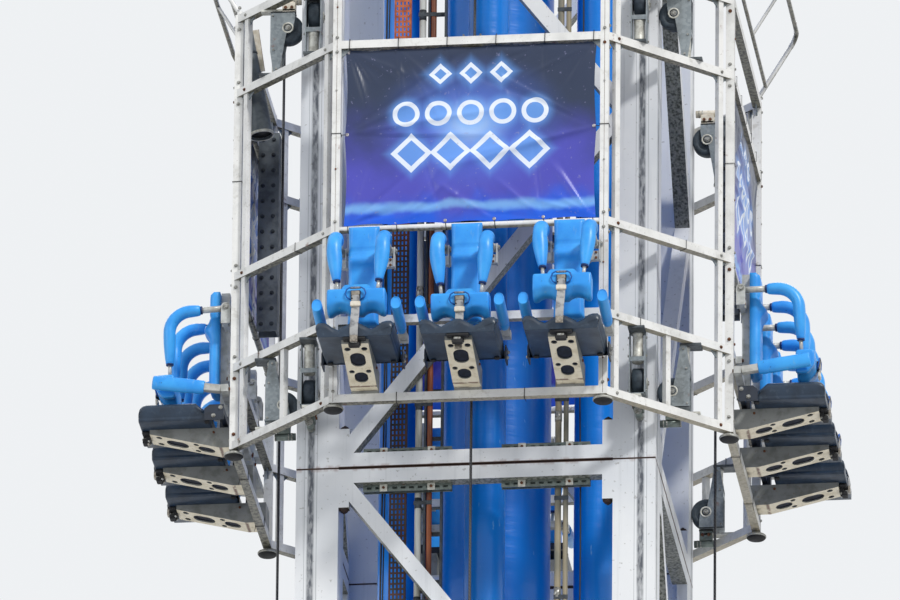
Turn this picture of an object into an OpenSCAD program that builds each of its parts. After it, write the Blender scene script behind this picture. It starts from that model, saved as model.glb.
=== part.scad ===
// Drop tower ride: a braced square steel tower with a ring carriage of twelve seats.
// Millimetres, +Z up, origin on the ground at the tower's centre, front of the tower towards -Y.

/* [Tower] */
// Outer width of the square tower
tower_w = 2110; // [1900:10:2400]
// Side of each square corner leg
leg_w = 250; // [200:5:300]
// Height of one bracing bay
bay_h = 2215; // [1900:5:2500]
// Number of bracing bays, two to a tower section
bays = 6; // [4:2:6]
// Height of the lowest beam above the ground
first_beam_z = 900; // [850:10:1100]
// Side of the square bracing tubes and beams
brace_w = 90; // [60:5:120]
// Width of the joint between two tower sections
splice_gap = 8; // [4:1:20]
// Side of the welded stubs beside each splice
stub_w = 62; // [40:2:80]
// Reach of the welded stubs above and below each splice
stub_reach = 265; // [200:5:320]
// Thickness of the steel base and head plates
plate_t = 30; // [20:1:40]
// Side of the square base plates under the legs
base_plate_w = 450; // [380:10:520]
// Distance between anchor holes in a base plate
anchor_pitch = 350; // [300:5:360]
// Radius of the anchor holes
anchor_r = 16; // [10:1:20]

/* [Cylinders and cables] */
// Radius of the central air receiver
tank_r = 320; // [260:5:360]
// Gap between the air receiver's top and the deck
tank_gap = 220; // [150:10:400]
// Radius of each launch cylinder
launch_r = 120; // [90:5:140]
// Distance of the launch cylinders from the tower axis
launch_d = 580; // [520:5:620]
// Radius of a hoist cable
cable_r = 8; // [6:1:12]
// Distance of the hoist cables inside the middle of the carriage posts
cable_in = 164; // [160:1:180]
// Width of a sheave across its rim
sheave_w = 60; // [50:2:80]
// Thickness of the sheave brackets
bracket_t = 20; // [12:1:30]

/* [Services] */
// Place of the cable tray's middle along the front side
tray_x = -467; // [-480:1:-440]
// Width of the perforated cable tray
tray_w = 100; // [80:5:140]
// Depth of the cable tray
tray_d = 30; // [20:5:40]
// Place of the cable ladder's middle along the front side
ladder_x = -262; // [-265:1:-240]
// Width of the cable ladder
ladder_w = 110; // [90:5:140]
// Depth of the cable ladder's rails
ladder_d = 60; // [40:5:80]
// Thickness of the cable ladder's rails
ladder_t = 12; // [6:1:16]
// Side of the cable ladder's square rungs
rung_w = 20; // [12:1:30]
// Distance between the rungs of the cable ladder
rung_pitch = 300; // [200:10:400]
// Side of the slotted strut channels
strut_w = 41; // [35:1:50]
// Length of a strut channel
strut_l = 520; // [400:10:560]
// Place of the left air pipe along the front side
left_pipe_x = -350; // [-352:1:-346]
// Radius of the left air pipe
left_pipe_r = 20; // [14:1:20]
// Place of the thin left pipe along the front side
left_conduit_x = -285; // [-290:1:-280]
// Radius of the thin left pipe
left_conduit_r = 17; // [10:1:20]
// Place of the right pipe along the front side
right_pipe_x = 472; // [465:1:474]
// Radius of the right pipe
right_pipe_r = 19; // [12:1:22]
// Place of the thin right pipe along the front side
right_conduit_x = 518; // [512:1:530]
// Radius of the thin right pipe
right_conduit_r = 15; // [10:1:20]

/* [Carriage] */
// Height of the carriage's bottom rail above the first splice at rest
rest_lift = 265; // [200:5:400]
// Distance from the tower's faces to the middle of the carriage posts
face_gap = 405; // [395:5:445]
// Distance that a corner bay covers along each of its two sides
corner_w = 670; // [660:5:700]
// Side of the square carriage rails and posts
rail_w = 50; // [40:2:60]
// Height of the armrest level rail above the bottom rail
rail_seat_z = 490; // [460:5:520]
// Height of the tube below the banner
rail_back_z = 1070; // [1050:5:1100]
// Height of the rail above the banner
rail_banner_z = 2240; // [2200:5:2300]
// Height of the top rail
rail_top_z = 2720; // [2680:5:2800]
// Side of the thin secondary posts
thin_w = 34; // [25:1:40]
// Distance of the secondary posts from the corner bay's ends
thin_in = 85; // [70:1:120]
// Radius of the rubber bumpers
bumper_r = 60; // [45:1:75]
// Thickness of the rubber bumpers
bumper_h = 26; // [15:1:40]
// Thickness of the vinyl banners
banner_t = 4; // [2:1:8]

/* [Guards and hangers] */
// Radius of the guard hoop tubes
hoop_r = 14; // [10:1:18]
// Bend radius of the guard hoops
hoop_bend = 80; // [60:5:100]
// Outward lean of the guard hoops from the upright, degrees
hoop_lean = 31; // [20:1:40]
// Length of a guard hoop up its slope
hoop_reach = 470; // [400:10:500]
// Height of the cross tube up a guard hoop's slope
hoop_cross = 97; // [80:1:140]
// Height of the sockets under the guard hoops
socket_h = 26; // [20:1:40]
// Length of the tapered tube under the left top rail
taper_l = 690; // [600:10:720]
// Radius of the tapered tube at its top
taper_top_r = 38; // [30:1:42]
// Radius of the tapered tube at its lower end
taper_low_r = 70; // [60:1:74]
// Inward lean of the tapered tube from the upright, degrees
taper_lean = 8.5; // [7:0.5:12]
// Distance of the tapered tube's top from the post beside it
taper_in = 75; // [70:1:100]

/* [Rollers] */
// Radius of a guide roller
roller_r = 90; // [75:1:100]
// Width of a guide roller
roller_w = 70; // [50:1:80]
// Gap between a roller and the leg that it runs on
roller_gap = 0.3; // [0.2:0.1:2]
// Distance of the roller tracks from the tower's edges
track_in = 90; // [75:5:125]
// Radius of a roller axle
axle_r = 15; // [12:1:18]
// Radial clearance of the running fits
fit_gap = 0.05; // [0.02:0.01:0.1]
// Height of a roller axle below or above the rail that carries it
fork_h = 325; // [300:5:340]
// Thickness of a fork plate
fork_t = 8; // [5:1:12]
// Clearance between a roller and its fork plates
side_gap = 6; // [5:1:10]

/* [Seats] */
// Distance between neighbouring seats
seat_pitch = 603; // [580:1:610]
// Width of a seat pan
pan_w = 460; // [420:5:470]
// Height of the underside of a seat pan above the bottom rail
pan_z = 168; // [150:2:190]
// Thickness of a seat pan
pan_h = 106; // [90:2:125]
// Distance of a seat pan's back edge from the carriage face
pan_back = 116; // [100:2:130]
// Reach of a seat pan from the carriage face
pan_out = 540; // [520:5:580]
// Reach of the cantilever arm under a seat
arm_out = 490; // [450:5:520]
// Width of the cantilever arm
arm_w = 158; // [140:2:180]
// Wall of the cantilever arm
arm_t = 8; // [5:1:12]
// Length of the level foot of the arm
arm_foot = 73; // [60:1:90]
// Half the width of the outer slot in the arm
arm_slot_r = 44; // [30:1:48]
// Depth of the seat's back post
frame_d = 50; // [40:2:54]
// Distance of the seat's back post from the carriage face
frame_out = 32; // [28:1:34]
// Width of the back pad
back_w = 180; // [150:5:190]
// Thickness of the back pad
back_t = 62; // [45:1:70]
// Height of the armrest's root above the bottom rail
armrest_z = 350; // [340:1:370]
// Distance of the armrests from the seat's middle
armrest_x = 231; // [225:1:240]
// Upward slope of the armrests, degrees
armrest_slope = 8; // [0:1:12]
// Side of the square armrest tubes
armrest_w = 44; // [36:1:48]
// Length of the bare tube before an armrest sleeve
bare_l = 100; // [60:5:140]
// Radius of the rounded edges of an armrest sleeve
sleeve_r = 30; // [25:1:34]
// Height of an armrest sleeve
sleeve_h = 76; // [66:1:86]
// Length of an armrest sleeve
sleeve_l = 308; // [260:2:340]

/* [Harness] */
// Height of the harness pivot above the bottom rail
pivot_z = 898; // [880:1:920]
// Distance of the harness pivot from the carriage face
pivot_out = 38; // [34:1:50]
// Distance of the harness tubes from the seat's middle
tube_x = 142; // [136:1:145]
// Radius of the harness tubes
tube_r = 19; // [14:0.5:19]
// Radius of the harness pivot pins
pin_r = 12; // [10:1:14]
// Radius of the shoulder pads
shoulder_r = 40; // [35:1:42]
// Radius of the bend over the shoulder
shoulder_bend = 130; // [110:5:150]
// Distance of the shoulder pads' front from the carriage face
shoulder_out = 380; // [360:2:400]
// Distance of the lap block's rods from the seat's middle
rod_x = 114; // [100:1:125]
// Height of the lap block's top above the bottom rail
lap_z = 500; // [480:2:520]
// Width of the lap block
lap_w = 342; // [320:2:350]
// Height of the lap block
lap_h = 150; // [130:2:170]
// Distance of the lap block's front from the carriage face
lap_out = 472; // [450:2:490]
// Thickness of the lap block
lap_t = 112; // [90:2:130]

// Angle below its normal place at which the lowest harness is closed
closed_far = 5; // [0:0.5:6]
// Angle below its normal place at which the next lowest harness is closed
closed_low = 3; // [0:0.5:6]
// Angle above its normal place at which the highest harness is closed, negative
closed_high = -5; // [-6:0.5:0]

/* [Hidden] */
$fn = 48;
closed_near = 0;

// Tower and carriage plan, derived
leg_c = (tower_w - leg_w) / 2;
leg_in = leg_c - leg_w / 2;
tower_d = tower_w / 2;
face_d = tower_d + face_gap;
post_x = face_d - corner_w;
cable_d = face_d - cable_in;
track_x = tower_d - track_in;
top_beam_z = first_beam_z + bays * bay_h;
leg_top = top_beam_z + brace_w / 2 + 15;
deck_top = leg_top + plate_t;
sections = bays / 2;
beam_back = tower_d - brace_w;

// Sheaves and cables, derived
sheave_c = (cable_d + launch_d) / 2;
sheave_pitch_r = (cable_d - launch_d) / 2;
sheave_rim_r = sheave_pitch_r + 16;
sheave_low_z = plate_t + sheave_rim_r + 30;
sheave_top_z = deck_top + sheave_rim_r + 30;
launch_low_z = sheave_low_z + sheave_rim_r + 120;
cable_seat = 0.3;
seat_gap = 0.3;
tank_flange_r = tank_r + 90;
cable_hole_r = cable_r + 22;
pad_out = frame_out + frame_d + seat_gap;
armrest_root = frame_out + 18;
flange_w = 25;

// Carriage, derived
rest_z = first_beam_z + 2 * bay_h + rest_lift;
face_out = face_d + rail_w / 2;
face_in = face_d - rail_w / 2;
corner_l = (face_d - post_x) * sqrt(2);
corner_d = (face_d + post_x) / sqrt(2);
roller_y = tower_d + roller_gap + roller_r;
fork_x = roller_w / 2 + side_gap;
roller_low_z = rail_seat_z - fork_h;
roller_high_z = rail_banner_z + fork_h;

// Puts a child on one of the four sides; side 0 faces the front, and they go round to the right
module on_side(side) {
    rotate([0, 0, 90 * side]) children();
}

// Puts a child on the carriage at its rest height
module on_carriage() {
    translate([0, 0, rest_z]) children();
}

// Turns a child so that X runs along a side, Y outwards from the carriage face and Z up
module at_seat(side, place) {
    on_carriage() on_side(side)
        translate([(place - 2) * seat_pitch, -face_out, 0]) mirror([0, 1, 0]) children();
}

// Box centred in X and Y that stands on a height
module post(w, d, low, high) {
    translate([-w / 2, -d / 2, low]) cube([w, d, high - low]);
}

// Tower

module tower_legs() {
    groove = 4;
    color("whitesmoke") for (x = [-1, 1], y = [-1, 1]) translate([x * leg_c, y * leg_c, 0]) difference() {
        post(leg_w, leg_w, plate_t, leg_top);
        for (k = [1 : sections - 1])
            translate([0, 0, first_beam_z + 2 * k * bay_h]) difference() {
                post(leg_w + 1, leg_w + 1, -splice_gap / 4, splice_gap / 4);
                post(leg_w - 2 * groove, leg_w - 2 * groove, -splice_gap, splice_gap);
            }
    }
}

// Lower diagonal of a section, drawn flat: its lower edge leaves the beam beside the stub,
// and its upper edge meets the far leg at mid-section
module diagonal() {
    foot = 25;
    run = 2 * leg_in - stub_w - foot;
    rise = bay_h - splice_gap / 2 - brace_w;
    slope = acos(brace_w / norm([run, rise])) - atan2(run, rise);
    intersection() {
        translate([-leg_in + stub_w + foot, splice_gap / 2 + brace_w]) rotate(slope)
            translate([-bay_h, 0]) square([3 * bay_h, brace_w]);
        translate([-leg_in, splice_gap / 2 + brace_w / 2]) square([2 * leg_in, bay_h]);
    }
}

// Beams, stub recesses and diagonals of one section of a tower side, drawn flat
module section_outline(k) {
    low = first_beam_z + 2 * k * bay_h;
    high = low + 2 * bay_h;
    low_gap = k > 0 ? splice_gap / 2 : 0;
    high_gap = k < sections - 1 ? splice_gap / 2 : 0;
    difference() {
        union() {
            translate([-leg_in, low + low_gap]) square([2 * leg_in, brace_w]);
            translate([-leg_in, high - high_gap - brace_w]) square([2 * leg_in, brace_w]);
            translate([0, low]) diagonal();
            translate([0, high]) mirror([0, 1]) diagonal();
        }
        for (x = [-1, 1]) {
            if (k > 0)
                translate([x * (leg_in - stub_w / 2), low])
                    square([stub_w, 2 * stub_reach], center = true);
            if (k < sections - 1)
                translate([x * (leg_in - stub_w / 2), high])
                    square([stub_w, 2 * stub_reach], center = true);
        }
    }
}

module bracing(side) {
    color("whitesmoke") on_side(side) for (k = [0 : sections - 1])
        translate([0, -beam_back, 0]) rotate([90, 0, 0])
            linear_extrude(brace_w) section_outline(k);
}

// Welded stubs with rubber plugs in their ends, on the inner edges of the legs at each splice
module splice_stubs() {
    plug_h = 18;
    color("gainsboro") for (side = [0 : 3], x = [-1, 1], k = [1 : sections - 1], end = [-1, 1])
        on_side(side) translate([x * (leg_in - stub_w / 2), -tower_d + stub_w / 2,
            first_beam_z + 2 * k * bay_h]) mirror([0, 0, end < 0 ? 1 : 0]) {
            post(stub_w, stub_w, splice_gap / 2, stub_reach - plug_h);
            translate([0, 0, stub_reach - plug_h]) cylinder(h = plug_h, r1 = stub_w * 0.45, r2 = stub_w * 0.3);
        }
}

module base_plates() {
    color("silver") for (x = [-1, 1], y = [-1, 1])
        translate([x * leg_c, y * leg_c, 0]) difference() {
            post(base_plate_w, base_plate_w, 0, plate_t);
            for (i = [-1, 1], j = [-1, 1])
                translate([i * anchor_pitch / 2, j * anchor_pitch / 2, -1])
                    cylinder(h = plate_t + 2, r = anchor_r);
        }
}

// Deck plate on the legs, with a hole over each launch cylinder
module head_deck() {
    color("silver") difference() {
        post(tower_w, tower_w, leg_top, deck_top);
        for (side = [0 : 3])
            on_side(side) translate([0, -launch_d, leg_top - 1]) cylinder(h = plate_t + 2, r = cable_hole_r);
    }
}

// Central tank on a round base flange, with a domed top
module air_receiver() {
    tank_top = leg_top - tank_gap;
    dome_r = tank_r * 1.3;
    color("steelblue") {
        cylinder(h = plate_t, r = tank_flange_r);
        intersection() {
            cylinder(h = tank_top, r = tank_r);
            translate([0, 0, tank_top - dome_r])
                union() {
                    sphere(r = dome_r);
                    translate([0, 0, -tank_top]) cylinder(h = tank_top, r = dome_r);
                }
        }
    }
}

// Four launch cylinders between the base brackets and the deck, with end flanges and cable glands
module launch_cylinders() {
    color("steelblue") for (side = [0 : 3]) on_side(side) translate([0, -launch_d, 0]) {
        translate([0, 0, launch_low_z]) cylinder(h = leg_top - launch_low_z, r = launch_r);
        translate([0, 0, launch_low_z]) cylinder(h = plate_t, r = launch_r + flange_w);
        translate([0, 0, leg_top - plate_t]) cylinder(h = plate_t, r = launch_r + flange_w);
    }
}

// Grooved wheel about the X axis
module sheave() {
    groove_r = sheave_pitch_r - cable_r - cable_seat;
    hub_w = sheave_w;
    rotate([0, 90, 0]) rotate_extrude() difference() {
        polygon([
            [axle_r + fit_gap, -hub_w / 2], [70, -hub_w / 2], [90, -14], [sheave_pitch_r - 60, -14],
            [sheave_pitch_r - 40, -sheave_w / 2], [sheave_rim_r, -sheave_w / 2],
            [sheave_rim_r, -cable_r - 6], [groove_r + cable_r, -cable_r - cable_seat],
            [groove_r, -cable_r - cable_seat], [groove_r, cable_r + cable_seat],
            [groove_r + cable_r, cable_r + cable_seat], [sheave_rim_r, cable_r + 6],
            [sheave_rim_r, sheave_w / 2], [sheave_pitch_r - 40, sheave_w / 2],
            [sheave_pitch_r - 60, 14], [90, 14], [70, hub_w / 2], [axle_r + fit_gap, hub_w / 2]
        ]);
    }
}

module sheaves() {
    color("dimgray") for (side = [0 : 3], z = [sheave_low_z, sheave_top_z])
        on_side(side) translate([0, -sheave_c, z]) sheave();
}

// Upper sheave brackets stand on the deck; the lower ones stand on foot plates and carry the cylinders
module sheave_brackets() {
    plate_x = sheave_w / 2 + side_gap;
    width = 2 * (plate_x + bracket_t);
    eye = 60;
    edge_in = 9;
    inner_y = -launch_d + launch_r + flange_w;
    seat_w = 2 * (launch_r + flange_w);
    color("silver") for (side = [0 : 3]) on_side(side) {
        for (x = [-1, 1]) translate([x * (plate_x + bracket_t / 2) - bracket_t / 2, 0, 0])
            rotate([90, 0, 90]) linear_extrude(bracket_t) {
                polygon([
                    [-sheave_c + 4 * eye, deck_top], [-tower_d + edge_in, deck_top],
                    [-sheave_c - eye, sheave_top_z + eye], [-sheave_c + eye, sheave_top_z + eye]
                ]);
                polygon([
                    [inner_y, plate_t], [inner_y, launch_low_z - plate_t],
                    [inner_y - seat_w, launch_low_z - plate_t],
                    [-sheave_c - eye, sheave_low_z + eye], [-sheave_c - eye, plate_t]
                ]);
            }
        translate([-width / 2, inner_y - seat_w, launch_low_z - plate_t]) difference() {
            cube([width, seat_w, plate_t]);
            translate([width / 2, seat_w / 2, -1]) cylinder(h = plate_t + 2, r = cable_hole_r);
        }
        translate([-width / 2, -sheave_c - eye, 0])
            cube([width, sheave_c + eye - tank_flange_r - seat_gap, plate_t]);
        for (z = [sheave_low_z, sheave_top_z]) translate([0, -sheave_c, z]) rotate([0, 90, 0])
            cylinder(h = width + 20, r = axle_r, center = true);
    }
}

// Straight outer run of each cable
module hoist_cables() {
    color("dimgray") for (side = [0 : 3])
        on_side(side) translate([0, -cable_d, sheave_low_z])
            cylinder(h = sheave_top_z - sheave_low_z, r = cable_r, $fn = 24);
}

// The ends of each cable, round the sheaves and into the launch cylinder
module cable_bends() {
    color("dimgray") for (side = [0 : 3]) on_side(side) {
        translate([0, -sheave_c, sheave_top_z]) rotate([90, 0, 90])
            rotate_extrude(angle = 180, $fn = 64) translate([sheave_pitch_r, 0]) circle(r = cable_r, $fn = 24);
        translate([0, -sheave_c, sheave_low_z]) rotate([90, 0, 90]) rotate([0, 0, 180])
            rotate_extrude(angle = 180, $fn = 64) translate([sheave_pitch_r, 0]) circle(r = cable_r, $fn = 24);
        translate([0, -launch_d, leg_top]) cylinder(h = sheave_top_z - leg_top, r = cable_r, $fn = 24);
        translate([0, -launch_d, sheave_low_z]) cylinder(h = launch_low_z - sheave_low_z, r = cable_r, $fn = 24);
    }
}

// Services on the inside of the front bracing

// Slotted C-section channel along X, its open side up
module strut_channel() {
    wall = 3;
    slot_pitch = 50;
    slots = floor(strut_l / slot_pitch) - 1;
    difference() {
        translate([-strut_l / 2, 0, 0]) rotate([90, 0, 90]) linear_extrude(strut_l) difference() {
            square([strut_w, strut_w]);
            translate([wall, wall]) square([strut_w - 2 * wall, strut_w - 2 * wall]);
            translate([strut_w / 2 - 11, strut_w - wall - 1]) square([22, wall + 2]);
        }
        for (i = [0 : slots]) translate([(i - slots / 2) * slot_pitch - 14, -1, strut_w / 2 - 7])
            cube([28, wall + 2, 14]);
    }
}

module strut_channels() {
    strut_x = leg_in - stub_w - 77 - strut_l / 2;
    color("slategray") for (k = [1 : sections - 1], x = [-1, 1], end = [0, 1])
        translate([x * strut_x, -beam_back - strut_w, first_beam_z + 2 * k * bay_h])
            mirror([0, 0, end]) translate([0, 0, splice_gap / 2 + brace_w])
                strut_channel();
}

// Vertical tray of folded sheet, its open side towards the tower's axis
module cable_tray() {
    wall = 3;
    color("sienna") translate([tray_x, -beam_back, first_beam_z]) linear_extrude(bays * bay_h) difference() {
        translate([-tray_w / 2, 0]) square([tray_w, tray_d]);
        translate([-tray_w / 2 + wall, wall]) square([tray_w - 2 * wall, tray_d]);
    }
}

module cable_ladder() {
    color("dimgray") translate([ladder_x, -beam_back, first_beam_z]) {
        for (x = [-1, 1]) translate([x * (ladder_w - ladder_t) / 2, ladder_d / 2, 0])
            post(ladder_t, ladder_d, 0, bays * bay_h);
        for (z = [rung_pitch / 2 : rung_pitch : bays * bay_h - rung_pitch / 2])
            translate([-ladder_w / 2, ladder_d - rung_w, z - rung_w / 2]) cube([ladder_w, rung_w, rung_w]);
    }
}

module service_pipes() {
    color("peru") for (p = [[left_pipe_x, left_pipe_r], [left_conduit_x, left_conduit_r],
        [right_pipe_x, right_pipe_r], [right_conduit_x, right_conduit_r]])
        translate([p[0], -beam_back + p[1], first_beam_z])
            cylinder(h = bays * bay_h, r = p[1], $fn = 24);
}

// Carriage

// Posts and rails of one side of the carriage
module carriage_side(side) {
    color("white") on_carriage() on_side(side) translate([0, -face_d, 0]) {
        for (x = [-1, 1])
            translate([x * post_x, 0, 0]) post(rail_w, rail_w, -rail_w / 2, rail_top_z + rail_w / 2);
        for (z = [0, rail_seat_z, rail_banner_z, rail_top_z])
            translate([0, 0, z]) post(2 * post_x, rail_w, -rail_w / 2, rail_w / 2);
        translate([0, 0, rail_back_z]) rotate([0, 90, 0])
            cylinder(h = 2 * post_x, r = rail_w * 0.4, center = true);
    }
}

// Rails and thin posts of one corner bay; it stands to the right of its side
module corner_bay(side) {
    color("white") on_carriage() on_side(side) difference() {
        rotate([0, 0, 45]) translate([0, -corner_d, 0]) {
            for (z = [0, rail_seat_z, rail_back_z, rail_banner_z, rail_top_z])
                translate([0, 0, z]) post(corner_l, rail_w, -rail_w / 2, rail_w / 2);
            for (x = [-1, 1])
                translate([x * (corner_l / 2 - thin_in), 0, 0]) post(thin_w, thin_w, 0, rail_top_z);
            post(thin_w, thin_w, 0, rail_seat_z);
        }
        translate([post_x, -face_d, 0])
            post(rail_w, rail_w, -rail_w, rail_top_z + rail_w);
        translate([face_d, -post_x, 0])
            post(rail_w, rail_w, -rail_w, rail_top_z + rail_w);
    }
}

// Roller unit about its axle: Z points to the rail that carries its narrow end, and Y outwards from
// the tower. Two tapered plates, an outer web and an end plate hold the axle, a spring cup stands
// between them, and a clamp block on a bracket ties the wide end to the far rail
module roller_fork(far_rail) {
    rail_y = face_d + post_x - track_x - roller_y;
    eye_r = 32;
    tip_y = 50;
    tip_w = 36;
    tip_z = fork_h - rail_w / 2;
    seat_h = 16;
    cup_r = 30;
    cup_z = 125;
    web_y = roller_r + side_gap;
    back_y = web_y + fork_t;
    end_z = roller_r + side_gap + fork_t;
    inner_y = 40;
    shoulder_z = tip_z - 130;
    block_w = 60;
    block_y = 37;
    block_h = 68;
    bracket_h = 14;
    spring_r = 22;
    width = 2 * (fork_x + fork_t);
    for (x = [-1, 1]) translate([x * (fork_x + fork_t / 2) - fork_t / 2, 0, 0])
        rotate([90, 0, 90]) linear_extrude(fork_t) {
            circle(r = eye_r);
            polygon([
                [tip_y, tip_z], [tip_y + tip_w, tip_z], [back_y, shoulder_z], [back_y, -end_z],
                [-inner_y, -end_z], [-eye_r, 0]
            ]);
        }
    translate([-width / 2, web_y, -end_z]) cube([width, fork_t, end_z + cup_z + 6]);
    translate([-width / 2, -inner_y, -end_z]) cube([width, inner_y + back_y, fork_t]);
    translate([-width / 2, tip_y - 6, tip_z - seat_h])
        cube([width, rail_y + 0.6 * rail_w - tip_y + 6, seat_h]);
    translate([0, tip_y + tip_w / 2, cup_z]) cylinder(h = tip_z - cup_z - 1, r = cup_r);
    translate([-block_w / 2, -inner_y, -end_z - block_h]) cube([block_w, inner_y + block_y, block_h + 1]);
    translate([-block_w / 2, -inner_y, -far_rail])
        cube([block_w, inner_y + rail_y + rail_w / 2, bracket_h]);
    translate([0, -inner_y - 33, -end_z - block_h - spring_r + 8]) rotate([-90, 0, 0])
        cylinder(h = inner_y + 33 + block_y + 13, r = spring_r);
    rotate([0, 90, 0]) cylinder(h = width + 16, r = axle_r, center = true);
}

// The lower units hang from the rail at the armrests, and the upper ones stand on the banner's rail
module roller_forks() {
    color("gainsboro") on_carriage() for (side = [0 : 3], x = [-1, 1]) on_side(side)
        translate([x * track_x, -roller_y, 0]) mirror([0, 1, 0]) {
            translate([0, 0, roller_low_z]) roller_fork(roller_low_z - rail_w / 2);
            translate([0, 0, roller_high_z]) mirror([0, 0, 1])
                roller_fork(rail_top_z - rail_w / 2 - roller_high_z);
        }
}

module roller() {
    rotate([0, 90, 0]) rotate_extrude() polygon([
        [axle_r + fit_gap, -roller_w / 2], [30, -roller_w / 2], [34, -20], [58, -20],
        [62, -roller_w / 2 + 3], [roller_r - 5, -roller_w / 2], [roller_r, -roller_w / 2 + 5],
        [roller_r, roller_w / 2 - 5], [roller_r - 5, roller_w / 2], [62, roller_w / 2 - 3],
        [58, 20], [34, 20], [30, roller_w / 2], [axle_r + fit_gap, roller_w / 2]
    ]);
}

// The two rollers of one side and level, on one axis
module rollers(side, axle_z) {
    color("dimgray") on_carriage() on_side(side) for (x = [-1, 1])
        translate([x * track_x, -roller_y, axle_z]) roller();
}

// Bolted columns behind the banners, beside the cables
module cable_columns() {
    inner = cable_d + cable_r + 8;
    low = rail_back_z - 40;
    high = rail_banner_z + 60;
    wall = 10;
    width = 110;
    color("slategray") on_carriage() for (side = [0 : 3]) on_side(side) translate([0, -inner, 0]) {
        translate([-width / 2, -wall, low]) cube([width, wall, high - low]);
        for (x = [-1, 1]) translate([x * (width - wall) / 2 - wall / 2, inner - face_in, low])
            cube([wall, face_in - inner, high - low]);
    }
}

// Bent tube guard above the top rail of one side; it leans outwards from the two posts
module guard_hoop() {
    color("white") {
        for (x = [-1, 1]) translate([x * post_x, 0, 0]) cylinder(h = socket_h, r = hoop_r + 6);
        translate([0, 0, socket_h / 2]) rotate([90 + hoop_lean, 0, 0]) {
            for (x = [-1, 1]) {
                translate([x * post_x, 0, 0]) rotate([-90, 0, 0])
                    cylinder(h = hoop_reach - hoop_bend + 10, r = hoop_r);
                translate([x * (post_x - hoop_bend), hoop_reach - hoop_bend, 0]) mirror([x < 0 ? 1 : 0, 0, 0])
                    rotate_extrude(angle = 90, $fn = 64) translate([hoop_bend, 0]) circle(r = hoop_r + 1.5);
            }
            translate([0, hoop_reach, 0]) rotate([0, 90, 0])
                cylinder(h = 2 * (post_x - hoop_bend + 10), r = hoop_r, center = true);
            translate([0, hoop_cross, 0]) rotate([0, 90, 0])
                cylinder(h = 2 * post_x, r = hoop_r - 2, center = true);
            translate([0, hoop_cross, 0]) rotate([-90, 0, 0]) cylinder(h = hoop_reach - hoop_cross, r = hoop_r - 4);
        }
    }
}

module guard_hoops() {
    on_carriage() for (side = [0 : 3]) on_side(side)
        translate([0, -face_d, rail_top_z + rail_w / 2]) guard_hoop();
}

// Tapered tube with a rimmed round mouth, hung by a lug under the left top rail beside its post
module tapered_tube() {
    rim_h = 12;
    rim_w = 4;
    mouth_wall = 6;
    mouth_depth = 20;
    lug_w = 40;
    lug_t = 24;
    lug_h = 34;
    drop = 10;
    fin_t = 8;
    fin_w = 36;
    fin_l = 270;
    color("dimgray") on_carriage() on_side(3)
        translate([post_x - taper_in, -face_in + 2, rail_top_z - rail_w / 2 - drop]) {
            rotate([180 + taper_lean, 0, 0]) {
                difference() {
                    union() {
                        cylinder(h = taper_l, r1 = taper_top_r, r2 = taper_low_r);
                        translate([0, 0, taper_l - rim_h]) cylinder(h = rim_h, r = taper_low_r + rim_w);
                    }
                    translate([0, 0, taper_l - mouth_depth])
                        cylinder(h = mouth_depth + 1, r = taper_low_r - mouth_wall);
                }
                translate([-fin_t / 2, -taper_top_r - fin_w, fin_t]) cube([fin_t, fin_w + 20, fin_l]);
            }
            translate([0, -lug_t / 2 - 6, 0]) post(lug_w, lug_t, drop - lug_h, drop);
        }
}

module bumpers() {
    color("dimgray") on_carriage() for (side = [0 : 3], x = [-1, 1]) on_side(side)
        translate([x * post_x, -face_d, -rail_w / 2 - bumper_h]) cylinder(h = bumper_h, r = bumper_r);
}

module banner(side) {
    edge = 22;
    low = rail_back_z + rail_w * 0.4 + 0.3;
    high = rail_banner_z - rail_w / 2 - 0.3;
    color("midnightblue") on_carriage() on_side(side) translate([0, -face_d, 0])
        post(2 * (post_x - rail_w / 2 - edge), banner_t, low, high);
}

// Seats; in these modules X runs along the side, Y outwards from the carriage face and Z up

// Tapered box arm on the bottom rail, with slots in its sloping underside
module seat_arm() {
    foot_z = 42;
    tip_h = 27;
    rail_top = rail_w / 2;
    slope = atan2(pan_z - tip_h - foot_z, arm_out - arm_foot);
    slot_l = 47;
    slots = [[arm_foot + 87, arm_slot_r - 5, 0.5], [arm_out - 158, arm_slot_r, 1]];
    holes = [[arm_foot + 144, 16], [arm_out - 54, 18]];
    hole_x = 49;
    outline = [
        [-rail_w + 4, rail_top], [0, rail_top], [0, foot_z], [arm_foot, foot_z],
        [arm_out, pan_z - tip_h], [arm_out, pan_z], [-rail_w + 4, pan_z]
    ];
    color("linen") difference() {
        union() {
            for (x = [-1, 1]) translate([x * (arm_w - arm_t) / 2 - arm_t / 2, 0, 0])
                rotate([90, 0, 90]) linear_extrude(arm_t) polygon(outline);
            translate([-arm_w / 2 + 1, 0, 0]) rotate([90, 0, 90]) linear_extrude(arm_w - 2) difference() {
                polygon(outline);
                polygon([
                    [2 * arm_t, foot_z + arm_t], [arm_foot - 1, foot_z + arm_t],
                    [arm_out - 2 * arm_t, pan_z - tip_h + 0.6 * arm_t], [arm_out - 2 * arm_t, pan_z - arm_t],
                    [2 * arm_t, pan_z - arm_t]
                ]);
            }
        }
        for (slot = slots)
            translate([0, slot[0], foot_z + (slot[0] - arm_foot) * tan(slope)]) rotate([slope, 0, 0])
                for (end = [-1, 1]) {
                    translate([0, end * slot_l / 2 * slot[2], 0]) cylinder(h = 30, r = slot[1], center = true);
                    translate([-slot[1], -slot_l / 2 * slot[2], -15]) cube([2 * slot[1], slot_l * slot[2], 30]);
                }
        for (x = [-1, 1], place = holes)
            translate([x * hole_x, place[0], foot_z + (place[0] - arm_foot) * tan(slope)]) rotate([slope, 0, 0])
                cylinder(h = 30, r = place[1], center = true);
    }
}

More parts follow.
